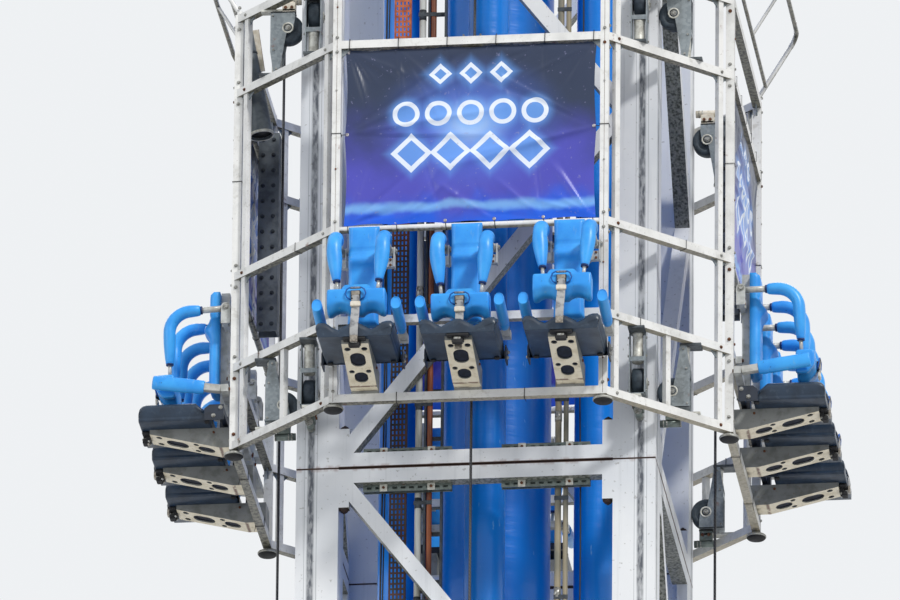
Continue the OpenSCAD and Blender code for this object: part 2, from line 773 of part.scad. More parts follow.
module seat_arms() {
    for (side = [0 : 3], place = [1 : 3]) at_seat(side, place) seat_arm();
}

// Moulded seat pan with a rounded front, a sloping back edge and tapered flanks
module seat_pan() {
    round_r = 36;
    taper = 30;
    slant = 88;
    top_z = pan_z + pan_h;
    color("darkslategray") hull() {
        for (x = [-1, 1]) {
            translate([x * (pan_w / 2 - round_r), pan_out - round_r, top_z - round_r])
                sphere(r = round_r, $fn = 20);
            translate([x * (pan_w / 2 - taper - 24), pan_out - 40, pan_z]) cylinder(h = 20, r = 24, $fn = 20);
            translate([x * (pan_w / 2 - 14), pan_back + slant, top_z - 20]) cylinder(h = 20, r = 14, $fn = 20);
            translate([x * (pan_w / 2 - taper - 14), pan_back + 14, pan_z]) cylinder(h = 20, r = 14, $fn = 20);
        }
    }
}

module seat_pans() {
    for (side = [0 : 3], place = [1 : 3]) at_seat(side, place) seat_pan();
}

// Back post on the arm, its crossbars, the pan's side brackets, and the clevises and pins of the harness
module seat_frame() {
    bar = 30;
    cheek = 8;
    boss_w = 40;
    boss_gap = 5;
    lug_r = 27;
    lug_low = pivot_z - 105;
    outer_x = tube_x + boss_w / 2 + boss_gap + cheek;
    bracket = [[frame_out, pan_z - 12], [pan_back + 30, pan_z - 12], [pan_back + 30, pan_z + 60],
        [pan_back, pan_z + 84], [frame_out, pan_z + 84]];
    color("gray") {
        translate([0, frame_out + frame_d / 2, 0]) post(60, frame_d, pan_z, rail_back_z - 30);
        translate([0, frame_out / 2 + 1, 0]) post(120, frame_out + 2, rail_seat_z - 22, rail_seat_z + 22);
        translate([0, frame_out - 5 + bar / 2, 0]) post(2 * outer_x, bar, lug_low, lug_low + 56);
        translate([0, armrest_root - seat_gap - 22, 0])
            post(2 * (armrest_x + 24), 44, armrest_z - armrest_w / 2, armrest_z + armrest_w / 2);
        translate([0, frame_out + bar / 2, 0]) post(pan_w + 3, bar, pan_z + 30, pan_z + 70);
        for (x = [-1, 1]) {
            translate([x * (pan_w / 2 + 1.5 + cheek / 2) - cheek / 2, 0, 0])
                rotate([90, 0, 90]) linear_extrude(cheek) polygon(bracket);
            for (inner = [-1, 1])
                translate([x * tube_x + inner * (boss_w / 2 + boss_gap + cheek / 2) - cheek / 2, 0, 0])
                    rotate([90, 0, 90]) linear_extrude(cheek) {
                        translate([pivot_out - lug_r, lug_low]) square([2 * lug_r, pivot_z - lug_low]);
                        translate([pivot_out, pivot_z]) circle(r = lug_r);
                    }
            translate([x * tube_x, pivot_out, pivot_z]) rotate([0, 90, 0])
                cylinder(h = boss_w + 2 * boss_gap + 2 * cheek + 12, r = pin_r, center = true);
        }
    }
}

module seat_frames() {
    for (side = [0 : 3], place = [1 : 3]) at_seat(side, place) seat_frame();
}

module back_pad() {
    edge_r = 24;
    low = 400;
    color("dodgerblue") hull() for (x = [-1, 1], z = [low + edge_r, rail_back_z - 42 - edge_r])
        translate([x * (back_w / 2 - edge_r), pad_out, z]) {
            rotate([-90, 0, 0]) cylinder(h = back_t - edge_r, r = edge_r, $fn = 20);
            translate([0, back_t - edge_r, 0]) sphere(r = edge_r, $fn = 20);
        }
}

module back_pads() {
    for (side = [0 : 3], place = [1 : 3]) at_seat(side, place) back_pad();
}

// Square tubes with oval foam sleeves at both sides of a seat, rising towards their ends
module armrests() {
    overlap = 40;
    color("dodgerblue") for (side = [0 : 3], place = [1 : 3], x = [-1, 1]) at_seat(side, place)
        translate([x * armrest_x, armrest_root, armrest_z]) rotate([armrest_slope, 0, 0]) {
            difference() {
                translate([-armrest_w / 2, -20, -armrest_w / 2])
                    cube([armrest_w, bare_l + overlap + 20, armrest_w]);
                rotate([-armrest_slope, 0, 0]) translate([-50, -100, -100]) cube([100, 100, 200]);
            }
            translate([0, bare_l, 0]) rotate([-90, 0, 0]) {
                for (end = [-1, 1]) translate([0, end * (sleeve_h / 2 - sleeve_r), 0])
                    cylinder(h = sleeve_l, r = sleeve_r);
                translate([-sleeve_r, -sleeve_h / 2 + sleeve_r, 0])
                    cube([2 * sleeve_r, sleeve_h - 2 * sleeve_r, sleeve_l]);
            }
        }
}

// Side outline of the lap block, from its back to its front: the lower front edge is cut back
module lap_side() {
    back = lap_out - lap_t;
    low = lap_z - lap_h;
    polygon([
        [back, low + 12], [back + 12, low], [lap_out - 42, low], [lap_out, low + 54],
        [lap_out, lap_z - 12], [lap_out - 12, lap_z], [back + 12, lap_z], [back, lap_z - 12]
    ]);
}

// Harness of one seat, turned down about its pivot by the angle at which it is closed
module harness(closed) {
    boss_w = 40;
    bend_y = shoulder_out - shoulder_bend;
    drop_z = pivot_z - shoulder_bend;
    pad_start = 188;
    pad_end = 580;
    rod_r = 11;
    thigh_r = 65;
    thigh_x = 89;
    bump_h = 28;
    drop = drop_z - pad_end;
    foot_y = shoulder_out + 12;
    down = [rod_x - tube_x, foot_y - shoulder_out, lap_z - 20 - drop_z];
    steep = atan2(norm([down[0], down[1]]), -down[2]);
    color("dodgerblue") translate([0, pivot_out, pivot_z]) rotate([-closed, 0, 0])
        translate([0, -pivot_out, -pivot_z]) {
            for (x = [-1, 1]) {
                difference() {
                    union() {
                        translate([x * tube_x, pivot_out, pivot_z]) rotate([0, 90, 0])
                            cylinder(h = boss_w, r = 26, center = true);
                        translate([x * tube_x, pivot_out + pin_r + 2, pivot_z]) rotate([-90, 0, 0])
                            cylinder(h = bend_y - pivot_out - pin_r - 2, r = tube_r);
                    }
                    translate([x * tube_x, pivot_out, pivot_z]) rotate([0, 90, 0])
                        cylinder(h = boss_w + 2, r = pin_r + fit_gap, center = true);
                }
                translate([x * tube_x, pad_start, pivot_z]) rotate([-90, 0, 0])
                    cylinder(h = bend_y - pad_start + 5, r1 = shoulder_r - 8, r2 = shoulder_r - 2);
                translate([x * tube_x, bend_y, drop_z]) rotate([90, 0, 90])
                    rotate_extrude(angle = 90, $fn = 64) translate([shoulder_bend, 0])
                        circle(r = shoulder_r, $fn = 32);
                translate([x * tube_x, shoulder_out, drop_z])
                    rotate([0, 0, atan2(down[1], x * down[0])]) rotate([0, 180 - steep, 0]) {
                        translate([0, 0, -14]) cylinder(h = drop + 14, r1 = shoulder_r - 4, r2 = 23);
                        cylinder(h = norm(down), r = rod_r);
                    }
            }
            difference() {
                union() {
                    translate([-lap_w / 2, 0, 0]) rotate([90, 0, 90]) linear_extrude(lap_w) lap_side();
                    translate([-62, lap_out - 92, lap_z - 1]) cube([124, 78, bump_h + 1]);
                }
                for (x = [-1, 1]) translate([x * thigh_x, lap_out + 1, lap_z - lap_h - thigh_r + 26])
                    rotate([90, 0, 0]) cylinder(h = lap_t + 2, r = thigh_r);
            }
        }
}

tower_legs();
bracing(0);  // bracing_front
bracing(1);  // bracing_right
bracing(2);  // bracing_rear
bracing(3);  // bracing_left
splice_stubs();
base_plates();
head_deck();
air_receiver();
launch_cylinders();
sheaves();
sheave_brackets();
hoist_cables();
cable_bends();
strut_channels();
cable_tray();
cable_ladder();
service_pipes();
carriage_side(0);  // carriage_front
carriage_side(1);  // carriage_right
carriage_side(2);  // carriage_rear
carriage_side(3);  // carriage_left
corner_bay(0);  // corner_front_right
corner_bay(1);  // corner_rear_right
corner_bay(2);  // corner_rear_left
corner_bay(3);  // corner_front_left
roller_forks();
cable_columns();
guard_hoops();
tapered_tube();
bumpers();
banner(0);  // banner_front
banner(1);  // banner_right
banner(2);  // banner_rear
banner(3);  // banner_left
seat_arms();
seat_pans();
seat_frames();
back_pads();
armrests();
rollers(0, roller_low_z);  // rollers_front_lower
rollers(1, roller_low_z);  // rollers_right_lower
rollers(2, roller_low_z);  // rollers_rear_lower
rollers(3, roller_low_z);  // rollers_left_lower
rollers(0, roller_high_z);  // rollers_front_upper
rollers(1, roller_high_z);  // rollers_right_upper
rollers(2, roller_high_z);  // rollers_rear_upper
rollers(3, roller_high_z);  // rollers_left_upper
at_seat(0, 1) harness(closed_near);  // harness_front_1
at_seat(0, 2) harness(closed_far);  // harness_front_2
at_seat(0, 3) harness(closed_high);  // harness_front_3
at_seat(1, 1) harness(closed_near);  // harness_right_1
at_seat(1, 2) harness(closed_near);  // harness_right_2
at_seat(1, 3) harness(closed_near);  // harness_right_3
at_seat(2, 1) harness(closed_near);  // harness_rear_1
at_seat(2, 2) harness(closed_near);  // harness_rear_2
at_seat(2, 3) harness(closed_near);  // harness_rear_3
at_seat(3, 1) harness(closed_near);  // harness_left_1
at_seat(3, 2) harness(closed_near);  // harness_left_2
at_seat(3, 3) harness(closed_low);  // harness_left_3
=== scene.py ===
"""Looks of the drop tower ride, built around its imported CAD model.

Metres, +Z up, the front of the tower towards -Y. Seat pieces are drawn in a seat's own frame:
X along the side, Y towards the tower, Z above the carriage's bottom rail, with the origin on the
carriage's face.
"""
import random
from math import atan2, copysign, cos, exp, hypot, pi, radians, sin, sqrt

import bpy
from mathutils import Matrix, Vector, noise


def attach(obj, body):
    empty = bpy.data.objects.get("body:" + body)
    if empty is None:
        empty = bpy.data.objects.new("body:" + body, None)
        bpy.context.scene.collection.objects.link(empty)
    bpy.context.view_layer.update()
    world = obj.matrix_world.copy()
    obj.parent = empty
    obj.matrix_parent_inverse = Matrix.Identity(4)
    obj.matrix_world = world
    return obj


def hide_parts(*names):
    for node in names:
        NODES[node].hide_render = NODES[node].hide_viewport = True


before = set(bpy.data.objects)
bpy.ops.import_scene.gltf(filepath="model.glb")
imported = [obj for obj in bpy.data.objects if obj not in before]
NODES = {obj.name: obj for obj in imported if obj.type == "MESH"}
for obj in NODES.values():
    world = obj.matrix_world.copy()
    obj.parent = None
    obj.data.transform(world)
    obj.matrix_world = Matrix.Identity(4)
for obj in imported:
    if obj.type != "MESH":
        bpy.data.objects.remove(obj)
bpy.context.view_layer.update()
rng = random.Random(7)

# Sizes of the CAD model: _D is a distance from the tower's axis, _X a place along a side, _Z a height
REST = 5.595
FACE = 1.485
POST_D = 1.46
POST_X = 0.79
RAIL = 0.05
RAIL_Z = {"low": 0.0, "seat": 0.49, "back": 1.07, "banner": 2.24, "top": 2.72}
CORNER_D = (POST_D + POST_X) / sqrt(2)
CORNER_L = (POST_D - POST_X) * sqrt(2)
CORNER_POST_IN = 0.085
TOWER_D = 1.055
LEG_IN = 0.805
BEAM_BACK = 0.965
SPLICES = (5.33, 9.76)
FIRST_BEAM = 0.9
TOP_BEAM = 14.19
BASE_TOP = 0.0302
WHEEL_X = 0.965
WHEEL_R = 0.09
WHEEL_GAP = 0.0003
WHEEL_D = TOWER_D + WHEEL_GAP + WHEEL_R
AXLE_Z = {"lower": RAIL_Z["seat"] - 0.325, "upper": RAIL_Z["banner"] + 0.325}
SEAT_PITCH = 0.603
PIVOT = (0.038, 0.898)
TUBE_X = 0.142
SIDES = ("front", "right", "rear", "left")
# Harnesses that hang lower or higher than the others, in degrees
CLOSED = {("front", 2): 5.0, ("front", 3): -5.0, ("left", 3): 3.0}
# Banner: half its width, its lower and upper edge, and how far in its corner ties are
BANNER_X, BANNER_LOW, BANNER_HIGH, TIE_IN = 0.741, 1.0925, 2.2125, 0.02

FRONT = (0, -1, 0)
UP = (0, 0, 1)
X_UP = Matrix.Rotation(-pi / 2, 4, "Y")
X_DOWN = Matrix.Rotation(pi / 2, 4, "Y")


# ---- places and outlines


def move(x, y, z):
    return Matrix.Translation((x, y, z))


def facing(point, direction):
    """Matrix that puts Z = 0 at a point with +Z along a direction."""
    return Matrix.Translation(point) @ Vector(direction).to_track_quat("Z", "Y").to_matrix().to_4x4()


def side_turn(k):
    return Matrix.Rotation(pi / 2 * k, 4, "Z")


def on_carriage(k):
    return side_turn(k) @ move(0, 0, REST)


def corner_turn(k):
    return side_turn(k + 0.5) @ move(0, -CORNER_D, REST)


def seat_at(k, n):
    return side_turn(k) @ move((n - 2) * SEAT_PITCH, -FACE, REST)


def harness_at(k, n):
    pivot = Vector((0, -PIVOT[0], PIVOT[1]))
    angle = radians(CLOSED.get((SIDES[k], n), 0.0))
    return (seat_at(k, n) @ Matrix.Translation(pivot) @ Matrix.Rotation(angle, 4, "X")
            @ Matrix.Translation(-pivot))


def out(x, u, z):
    """Point of a seat's frame from its distance u in front of the carriage's face."""
    return Vector((x, -u, z))


def turns(n):
    """Angles of n even steps round a circle."""
    return [2 * pi * j / n for j in range(n)]


def tangent(path, i):
    """Direction of a path of vectors at one of its points."""
    return (path[min(i + 1, len(path) - 1)] - path[max(i - 1, 0)]).normalized()


def mirrored(half):
    """Outline from its right half, started at the left."""
    return [(-x, y) for x, y in half] + half[::-1]


def rounded(points, radius, n=4):
    """Outline with its corners rounded."""
    result = []
    for i, p in enumerate(points):
        p, a, b = Vector(p), Vector(points[i - 1]), Vector(points[(i + 1) % len(points)])
        da, db = a - p, b - p
        r = min(radius, 0.45 * da.length, 0.45 * db.length)
        start, end = p + da.normalized() * r, p + db.normalized() * r
        for t in (k / n for k in range(n + 1)):
            q = start * (1 - t) ** 2 + p * 2 * t * (1 - t) + end * t ** 2
            result.append((q.x, q.y))
    return result


# ---- mesh kit


class Shape:
    """Collects simple solids into one mesh. Each face keeps its material's key and its shading."""

    def __init__(self):
        self.verts, self.faces, self.mats, self.smooth = [], [], [], []

    def add(self, verts, faces, mat, smooth=False, at=None):
        base = len(self.verts)
        at = at or Matrix.Identity(4)
        self.verts += [at @ Vector(v) for v in verts]
        self.faces += [tuple(base + i for i in f) for f in faces]
        self.mats += [mat] * len(faces)
        self.smooth += [smooth] * len(faces)
        return self

    def rings(self, rings, mat, smooth=True, at=None, loop=False):
        """Lofts closed rings of as many points each, with flat ends or joined up end to end."""
        n = len(rings[0])
        faces = []
        for i in range(len(rings) - (0 if loop else 1)):
            k = (i + 1) % len(rings)
            for j in range(n):
                m = (j + 1) % n
                faces.append((i * n + j, i * n + m, k * n + m, k * n + j))
        base = len(self.verts)
        self.add([p for ring in rings for p in ring], faces, mat, smooth, at)
        if not loop:
            last = base + (len(rings) - 1) * n
            self.faces += [tuple(range(base + n - 1, base - 1, -1)), tuple(range(last, last + n))]
            self.mats += [mat] * 2
            self.smooth += [False] * 2
        return self

    def slab(self, front, back, nx, mat, smooth=False, hole=None):
        """Solid between two grids with nx points in a row; hole(i, j) says which cells are open."""
        n = len(front)
        faces, walls = [], []
        for j in range(n // nx - 1):
            for i in range(nx - 1):
                a = j * nx + i
                cell = (a, a + 1, a + nx + 1, a + nx)
                if hole and hole(i, j):
                    walls += [(cell[q - 1], cell[q]) for q in range(4)]
                else:
                    faces += [cell, tuple(n + c for c in cell[::-1])]
            walls += [(j * nx, (j + 1) * nx), ((j + 2) * nx - 1, (j + 1) * nx - 1)]
        for i in range(nx - 1):
            walls += [(i + 1, i), (n - nx + i, n - nx + i + 1)]
        faces += [(a, b, n + b, n + a) for a, b in walls]
        return self.add(front + back, faces, mat, smooth)

    def box(self, low, high, mat, cut=0.0, at=None):
        """Box between two corners, its upright and level edges cut by a small chamfer."""
        low, high = Vector(low), Vector(high)
        if not cut:
            ring = ((low.x, low.y), (high.x, low.y), (high.x, high.y), (low.x, high.y))
            return self.rings([[(x, y, z) for x, y in ring] for z in (low.z, high.z)], mat, False, at)
        rings = []
        for z, inset in ((low.z, cut), (low.z + cut, 0.0), (high.z - cut, 0.0), (high.z, cut)):
            a, b, c, d = low.x + inset, low.y + inset, high.x - inset, high.y - inset
            k = cut * 0.6
            rings.append([(a + k, b, z), (c - k, b, z), (c, b + k, z), (c, d - k, z),
                          (c - k, d, z), (a + k, d, z), (a, d - k, z), (a, b + k, z)])
        return self.rings(rings, mat, False, at)

    def middle_box(self, half, u, z, mat, cut=0.003):
        """Box across a seat's middle, from its near and far u and its low and high z."""
        return self.box(out(-half, u[1], z[0]), out(half, u[0], z[1]), mat, cut)

    def tube(self, path, r, mat, n=12, at=None):
        """Round bar along a path; its frames turn as little as they can."""
        path = [Vector(p) for p in path]
        rings, normal = [], tangent(path, 0).orthogonal().normalized()
        for i, p in enumerate(path):
            t = tangent(path, i)
            normal = (normal - t * normal.dot(t)).normalized()
            side = t.cross(normal)
            rings.append([p + (normal * cos(q) + side * sin(q)) * r for q in turns(n)])
        return self.rings(rings, mat, True, at)

    def rod(self, a, b, r, mat, n=12, at=None):
        """Straight round bar between two points."""
        return self.tube([a, b], r, mat, n, at)

    def tie(self, centre, half, drift, upright=False):
        """Wire tie round a square rail along X, or round an upright post."""
        path = []
        for i, (a, b) in enumerate(((1, 1), (1, -1), (-1, -1), (-1, 1), (1, 1))):
            corner = (a * half, b * half, 0) if upright else (0, a * half, b * half)
            path.append(Vector(centre) + Vector(corner) + Vector((drift * i, 0, 0)))
        return self.tube(path, 0.0022, "tie", 6)

    def lathe(self, profile, mat, n=32, at=None, smooth=True, loop=False):
        """Turned solid about X from (x, r) points; profile ends need not reach the axis."""
        rings = [[(x, r * cos(q), r * sin(q)) for q in turns(n)] for x, r in profile]
        return self.rings(rings, mat, smooth, at, loop)

    def plate(self, outline, low, high, mat, at=None):
        """Flat outline in X and Y, thickened from low to high along Z."""
        return self.rings([[(x, y, z) for x, y in outline] for z in (low, high)], mat, False, at)

    def gusset(self, outline, sign, half, at):
        """Upright plate over an outline in X and Z, which is mirrored where sign is -1."""
        points = [(sign * a, b) for a, b in outline][::sign]
        return self.plate(points, -half, half, "galvanised", at @ Matrix.Rotation(pi / 2, 4, "X"))

    def bolt(self, point, axis, r, mat, washer=0.0, head=0.008, at=None):
        """Hexagon head on a washer, or without one, with its foot at a point."""
        at = (at or Matrix.Identity(4)) @ facing(point, axis)
        if washer:
            rim = [(0.0, washer), (0.003, washer), (0.003, washer * 0.98)]
            self.lathe(rim, mat, 12, at @ X_UP, False)
        foot = 0.003 if washer else 0.0
        levels = ((foot, r), (foot + head * 0.8, r), (foot + head, r * 0.86))
        return self.rings([[(k * cos(q), k * sin(q), z) for q in turns(6)] for z, k in levels],
                          mat, False, at)

    def mesh(self, name):
        """Mesh with one material for each key in use."""
        me = bpy.data.meshes.new(name)
        me.from_pydata([tuple(v) for v in self.verts], [], self.faces)
        keys = list(dict.fromkeys(self.mats))
        for key in keys:
            me.materials.append(M[key])
        me.polygons.foreach_set("material_index", [keys.index(key) for key in self.mats])
        me.polygons.foreach_set("use_smooth", self.smooth)
        me.validate()
        me.update()
        return me


def new_object(name, data):
    ob = bpy.data.objects.new(name, data)
    bpy.context.scene.collection.objects.link(ob)
    return ob


def place(name, me, body, slot, at=None, *replaces):
    ob = new_object(name, me)
    ob.matrix_world = at or Matrix.Identity(4)
    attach(ob, body)
    if replaces:
        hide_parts(*replaces)
    return ob


# ---- material kit


def srgb(rgb):
    """Linear colour of an sRGB one given from 0 to 255."""
    return tuple((c / 255 / 12.92) if c <= 10 else ((c / 255 + 0.055) / 1.055) ** 2.4 for c in rgb)


def add_node(tree, kind, inputs=(), **settings):
    """Shader node with its inputs, from a dictionary or in their order, as sockets or as values.

    A value of three numbers is an sRGB colour from 0 to 255, one of four is linear.
    """
    n = tree.nodes.new("ShaderNode" + kind)
    for key, value in settings.items():
        setattr(n, key, value)
    for key, value in inputs.items() if isinstance(inputs, dict) else enumerate(inputs):
        if isinstance(value, bpy.types.NodeSocket):
            tree.links.new(value, n.inputs[key])
        elif isinstance(value, tuple) and len(value) == 3:
            n.inputs[key].default_value = (*srgb(value), 1.0)
        else:
            n.inputs[key].default_value = value
    return n


class Paint:
    """Small builder for one material's nodes; its textures read the object's own coordinates."""

    def __init__(self, name, rough=0.5, metal=0.0, coat=0.0, coat_rough=0.1, ior=1.45, sheen=0.0):
        self.mat = bpy.data.materials.new(name)
        self.mat.use_nodes = True
        self.tree = self.mat.node_tree
        self.tree.nodes.clear()
        self.shader = self.node("BsdfPrincipled", {
            "Roughness": rough, "Metallic": metal, "Coat Weight": coat, "Coat Roughness": coat_rough,
            "IOR": ior, "Sheen Weight": sheen})
        self.node("OutputMaterial", (self.shader.outputs[0],))
        self.coords = self.node("TexCoord").outputs["Object"]
        self.colour = self.normal = None

    def node(self, kind, inputs=(), **settings):
        return add_node(self.tree, kind, inputs, **settings)

    def math(self, op, a, b=0.0):
        return self.node("Math", (a, b), operation=op).outputs[0]

    def plus(self, a, b):
        return self.math("ADD", a, b)

    def minus(self, a, b):
        return self.math("SUBTRACT", a, b)

    def times(self, first, *others):
        for value in others:
            first = self.math("MULTIPLY", first, value)
        return first

    def blend(self, value, low, high):
        """Number that goes from low to high as the value goes from 0 to 1."""
        return self.plus(self.times(value, high - low), low)

    def away(self, value, centre=0.0):
        """Distance of a value from a centre."""
        return self.math("ABSOLUTE", self.minus(value, centre) if centre else value)

    def length(self, a, b):
        return self.math("SQRT", self.plus(self.times(a, a), self.times(b, b)))

    def split(self, vector=None):
        """X, Y and Z of a vector, or of the object's coordinates."""
        return self.node("SeparateXYZ", (vector or self.coords,)).outputs

    def texture(self, kind, scale, stretch=None, coords=None, extra=(), **settings):
        coords = coords or self.coords
        if stretch:
            coords = self.node("Mapping", {"Vector": coords, "Scale": Vector(stretch)}).outputs[0]
        return self.node("Tex" + kind, {"Vector": coords, "Scale": scale, **dict(extra)}, **settings)

    def noise(self, scale, detail, stretch=None):
        return self.texture("Noise", scale, stretch, extra={"Detail": detail, "Roughness": 0.55}).outputs[0]

    def wave(self, direction, scale):
        return self.texture("Wave", scale, bands_direction=direction).outputs["Fac"]

    def step(self, value, low, high):
        """0 below low and 1 above high, smooth between; low may be above high."""
        return self.node("MapRange", {
            "Value": value, "From Min": min(low, high), "From Max": max(low, high),
            "To Min": float(low > high), "To Max": float(low < high)},
            interpolation_type="SMOOTHSTEP").outputs[0]

    def band(self, value, centre, half, soft):
        """1 within half of the centre, 0 beyond half + soft."""
        return self.step(self.away(value, centre), half + soft, half)

    def flecks(self, low, high, scale, detail, stretch=None):
        """Noise cut to marks with soft edges."""
        return self.step(self.noise(scale, detail, stretch), low, high)

    def facing_down(self, low=-0.25, high=-0.75):
        """1 on undersides, by the height of the normal."""
        return self.step(self.split(self.node("NewGeometry").outputs["Normal"])[2], low, high)

    def mix(self, fac, a, b):
        return self.node("Mix", {"Factor": fac, "A": a, "B": b}, data_type="RGBA").outputs["Result"]

    def mottled(self, value, low, high, one, two):
        """One colour below low and the other above high."""
        return self.mix(self.step(value, low, high), one, two)

    def ground(self, *mottle):
        """First coat."""
        self.colour = self.mottled(*mottle)

    def over(self, colour, *amounts):
        """Lays a colour over the last one, by the product of the amounts."""
        self.colour = self.mix(self.times(*amounts), self.colour, colour)

    def specks(self, colour, amount, *flecks):
        """Lays a colour over in marks of noise."""
        self.over(colour, amount, self.flecks(*flecks))

    def bump(self, height, strength, distance):
        inputs = {"Strength": strength, "Distance": distance, "Height": height}
        if self.normal:
            inputs["Normal"] = self.normal
        self.normal = self.node("Bump", inputs).outputs[0]

    def done(self, value=None, low=0.0, high=0.0):
        """The material; where a value is given, its roughness goes from low to high with it."""
        for key, socket in (("Base Color", self.colour), ("Normal", self.normal),
                            ("Roughness", value and self.blend(value, low, high))):
            if socket:
                self.tree.links.new(socket, self.shader.inputs[key])
        return self.mat


# ---- materials


RUST = (122, 66, 34)
DARK_RUST = (62, 38, 26)


def tower_white(track):
    """White paint of the tower, with painted shade on its undersides; the legs' one has the wheels' track and
    a narrower splice seam.
    """
    p = Paint("tower_white_track" if track else "tower_white", rough=0.42, coat=0.15, coat_rough=0.25)
    x, y, z = p.split()
    p.ground(p.noise(1.3, 4), 0.35, 0.7, (233, 235, 238), (216, 220, 226))
    streaks = p.noise(1.0, 5, (26, 26, 0.9))
    p.over((170, 174, 178), 0.28, p.step(streaks, 0.54, 0.74))
    p.specks((120, 116, 108), 0.45, 0.66, 0.74, 42, 2)
    # Painted shade: olive-grey darkening on the undersides, weaker on the legs, with black flecks of dirt in
    # it.
    down = p.facing_down(-0.2, -0.45)
    p.over((124, 124, 108), 0.35 if track else 0.85, down)
    p.over((54, 56, 44), 0.4 if track else 0.9, down, p.flecks(0.38, 0.66, 62, 6))
    if track:
        ax, ay = p.away(x), p.away(y)
        across, track_x = p.math("MINIMUM", ax, ay), 0.968
        outer = p.step(p.math("MAXIMUM", ax, ay), TOWER_D - 0.005, TOWER_D - 0.001)
        smear = p.flecks(0.2, 0.5, 1.0, 4, (2, 2, 2.4))
        grain = p.blend(p.flecks(0.34, 0.62, 1.0, 5, (60, 60, 16)), 0.55, 1.0)
        p.over((46, 54, 68), 0.92, p.band(across, track_x, 0.011, 0.016), outer, smear, grain,
               p.step(z, FIRST_BEAM, 1.6))
        for edge in (-0.036, 0.036):
            p.over((112, 118, 126), 0.55, p.band(across, track_x + edge, 0.0012, 0.0008), outer)
    seam = p.math("MINIMUM", *(p.away(z, level) for level in SPLICES))
    p.over(RUST, 0.5, p.step(seam, 0.03, 0.004), p.flecks(0.5, 0.66, 16, 5, (1, 1, 0.5)))
    p.over(DARK_RUST, p.step(seam, 0.0062, 0.004) if track else p.step(seam, 0.0105, 0.0085))
    p.bump(p.noise(120, 2), 0.12, 0.0006)
    p.bump(p.noise(3.0, 2), 0.12, 0.004)
    return p.done(streaks, 0.3, 0.62)


def carriage_white():
    """White paint with painted shade on its undersides, deeper at the left and on the upper rails, and black
    flecks of dirt there.
    """
    p = Paint("carriage_white", rough=0.4, coat=0.2, coat_rough=0.2)
    x, _, z = p.split()
    patches = p.noise(6, 4)
    p.ground(patches, 0.4, 0.7, (240, 240, 238), (220, 220, 218))
    p.specks((150, 143, 128), 0.4, 0.62, 0.72, 70, 3)
    # Painted shade on the undersides, deeper at the left and on the upper rails; the black flecks over it are
    # dirt.
    down = p.facing_down()
    dark = p.math("MAXIMUM", p.step(x, 0.5, -0.9), p.step(z, REST + 2.1, REST + 2.3))
    p.over(p.mix(dark, (168, 158, 134), (106, 102, 82)), 0.92, down)
    p.over((42, 42, 32), down, p.flecks(0.42, 0.62, 48, 6), p.blend(dark, 0.3, 0.9))
    p.specks((150, 146, 132), 0.35, 0.56, 0.74, 19, 6)
    p.over(RUST, 0.8, p.flecks(0.63, 0.72, 13, 6), p.flecks(0.5, 0.62, 2.2, 2))
    p.bump(p.noise(160, 2), 0.15, 0.0005)
    return p.done(patches, 0.28, 0.6)


def galvanised(name, base, dark):
    """Zinc coat with spangle, stains and some rust."""
    p = Paint(name, rough=0.45, metal=0.55)
    spangle = p.node("SeparateColor", (p.texture("Voronoi", 62).outputs["Color"],)).outputs[0]
    p.colour = p.mix(p.times(spangle, 0.6), base, dark)
    stain = p.flecks(0.46, 0.74, 7, 6, (1, 1, 0.5))
    p.over((92, 94, 92), 0.45, stain)
    p.specks(RUST, 0.75, 0.64, 0.74, 11, 6)
    p.bump(spangle, 0.15, 0.0006)
    return p.done(stain, 0.36, 0.7)


def tower_blue():
    p = Paint("tower_blue", rough=0.36, coat=0.12, coat_rough=0.15)
    p.ground(p.noise(0.8, 3), 0.35, 0.7, (0, 134, 234), (0, 108, 206))
    # Painted highlight: lighter azure streaks and long light specks running up the blue stand in for sunlit
    # glare.
    streaks = p.noise(1.0, 5, (16, 16, 0.6))
    p.over((72, 158, 228), 0.3, p.step(streaks, 0.56, 0.74))
    p.specks((140, 196, 240), 0.5, 0.68, 0.74, 1.0, 4, (30, 30, 8))
    p.bump(p.noise(1.0, 3, (2.2, 2.2, 11)), 0.5, 0.01)
    p.bump(p.noise(90, 2), 0.05, 0.0005)
    return p.done(streaks, 0.22, 0.42)


def rusty_tray():
    """Dark stained sheet, orange with rust above the middle of the carriage."""
    p = Paint("rusty_tray", rough=0.7)
    level = p.plus(p.split()[2], p.times(p.noise(6, 4), 0.5))
    patches = p.noise(24, 5)
    p.ground(patches, 0.4, 0.6, (70, 42, 34), (48, 44, 42))
    p.over(p.mottled(patches, 0.4, 0.65, (196, 108, 70), (150, 72, 42)),
           p.step(level, REST + 1.3, REST + 1.75))
    p.bump(patches, 0.3, 0.001)
    return p.done()


def service_pipe():
    """Three finishes for the pipes and the conduit, told apart by their X."""
    p = Paint("service_pipe", rough=0.45)
    x = p.split()[0]
    patches = p.noise(9, 4, (1, 1, 0.3))
    p.ground(patches, 0.4, 0.65, (198, 200, 198), (160, 160, 154))
    p.over(p.mottled(patches, 0.4, 0.62, (150, 82, 48), (96, 54, 38)), p.step(x, -0.32, -0.318))
    p.over(p.mottled(patches, 0.4, 0.6, (118, 116, 104), (150, 140, 118)), p.step(x, 0.0, 0.01))
    p.bump(patches, 0.1, 0.001)
    return p.done(patches, 0.32, 0.6)


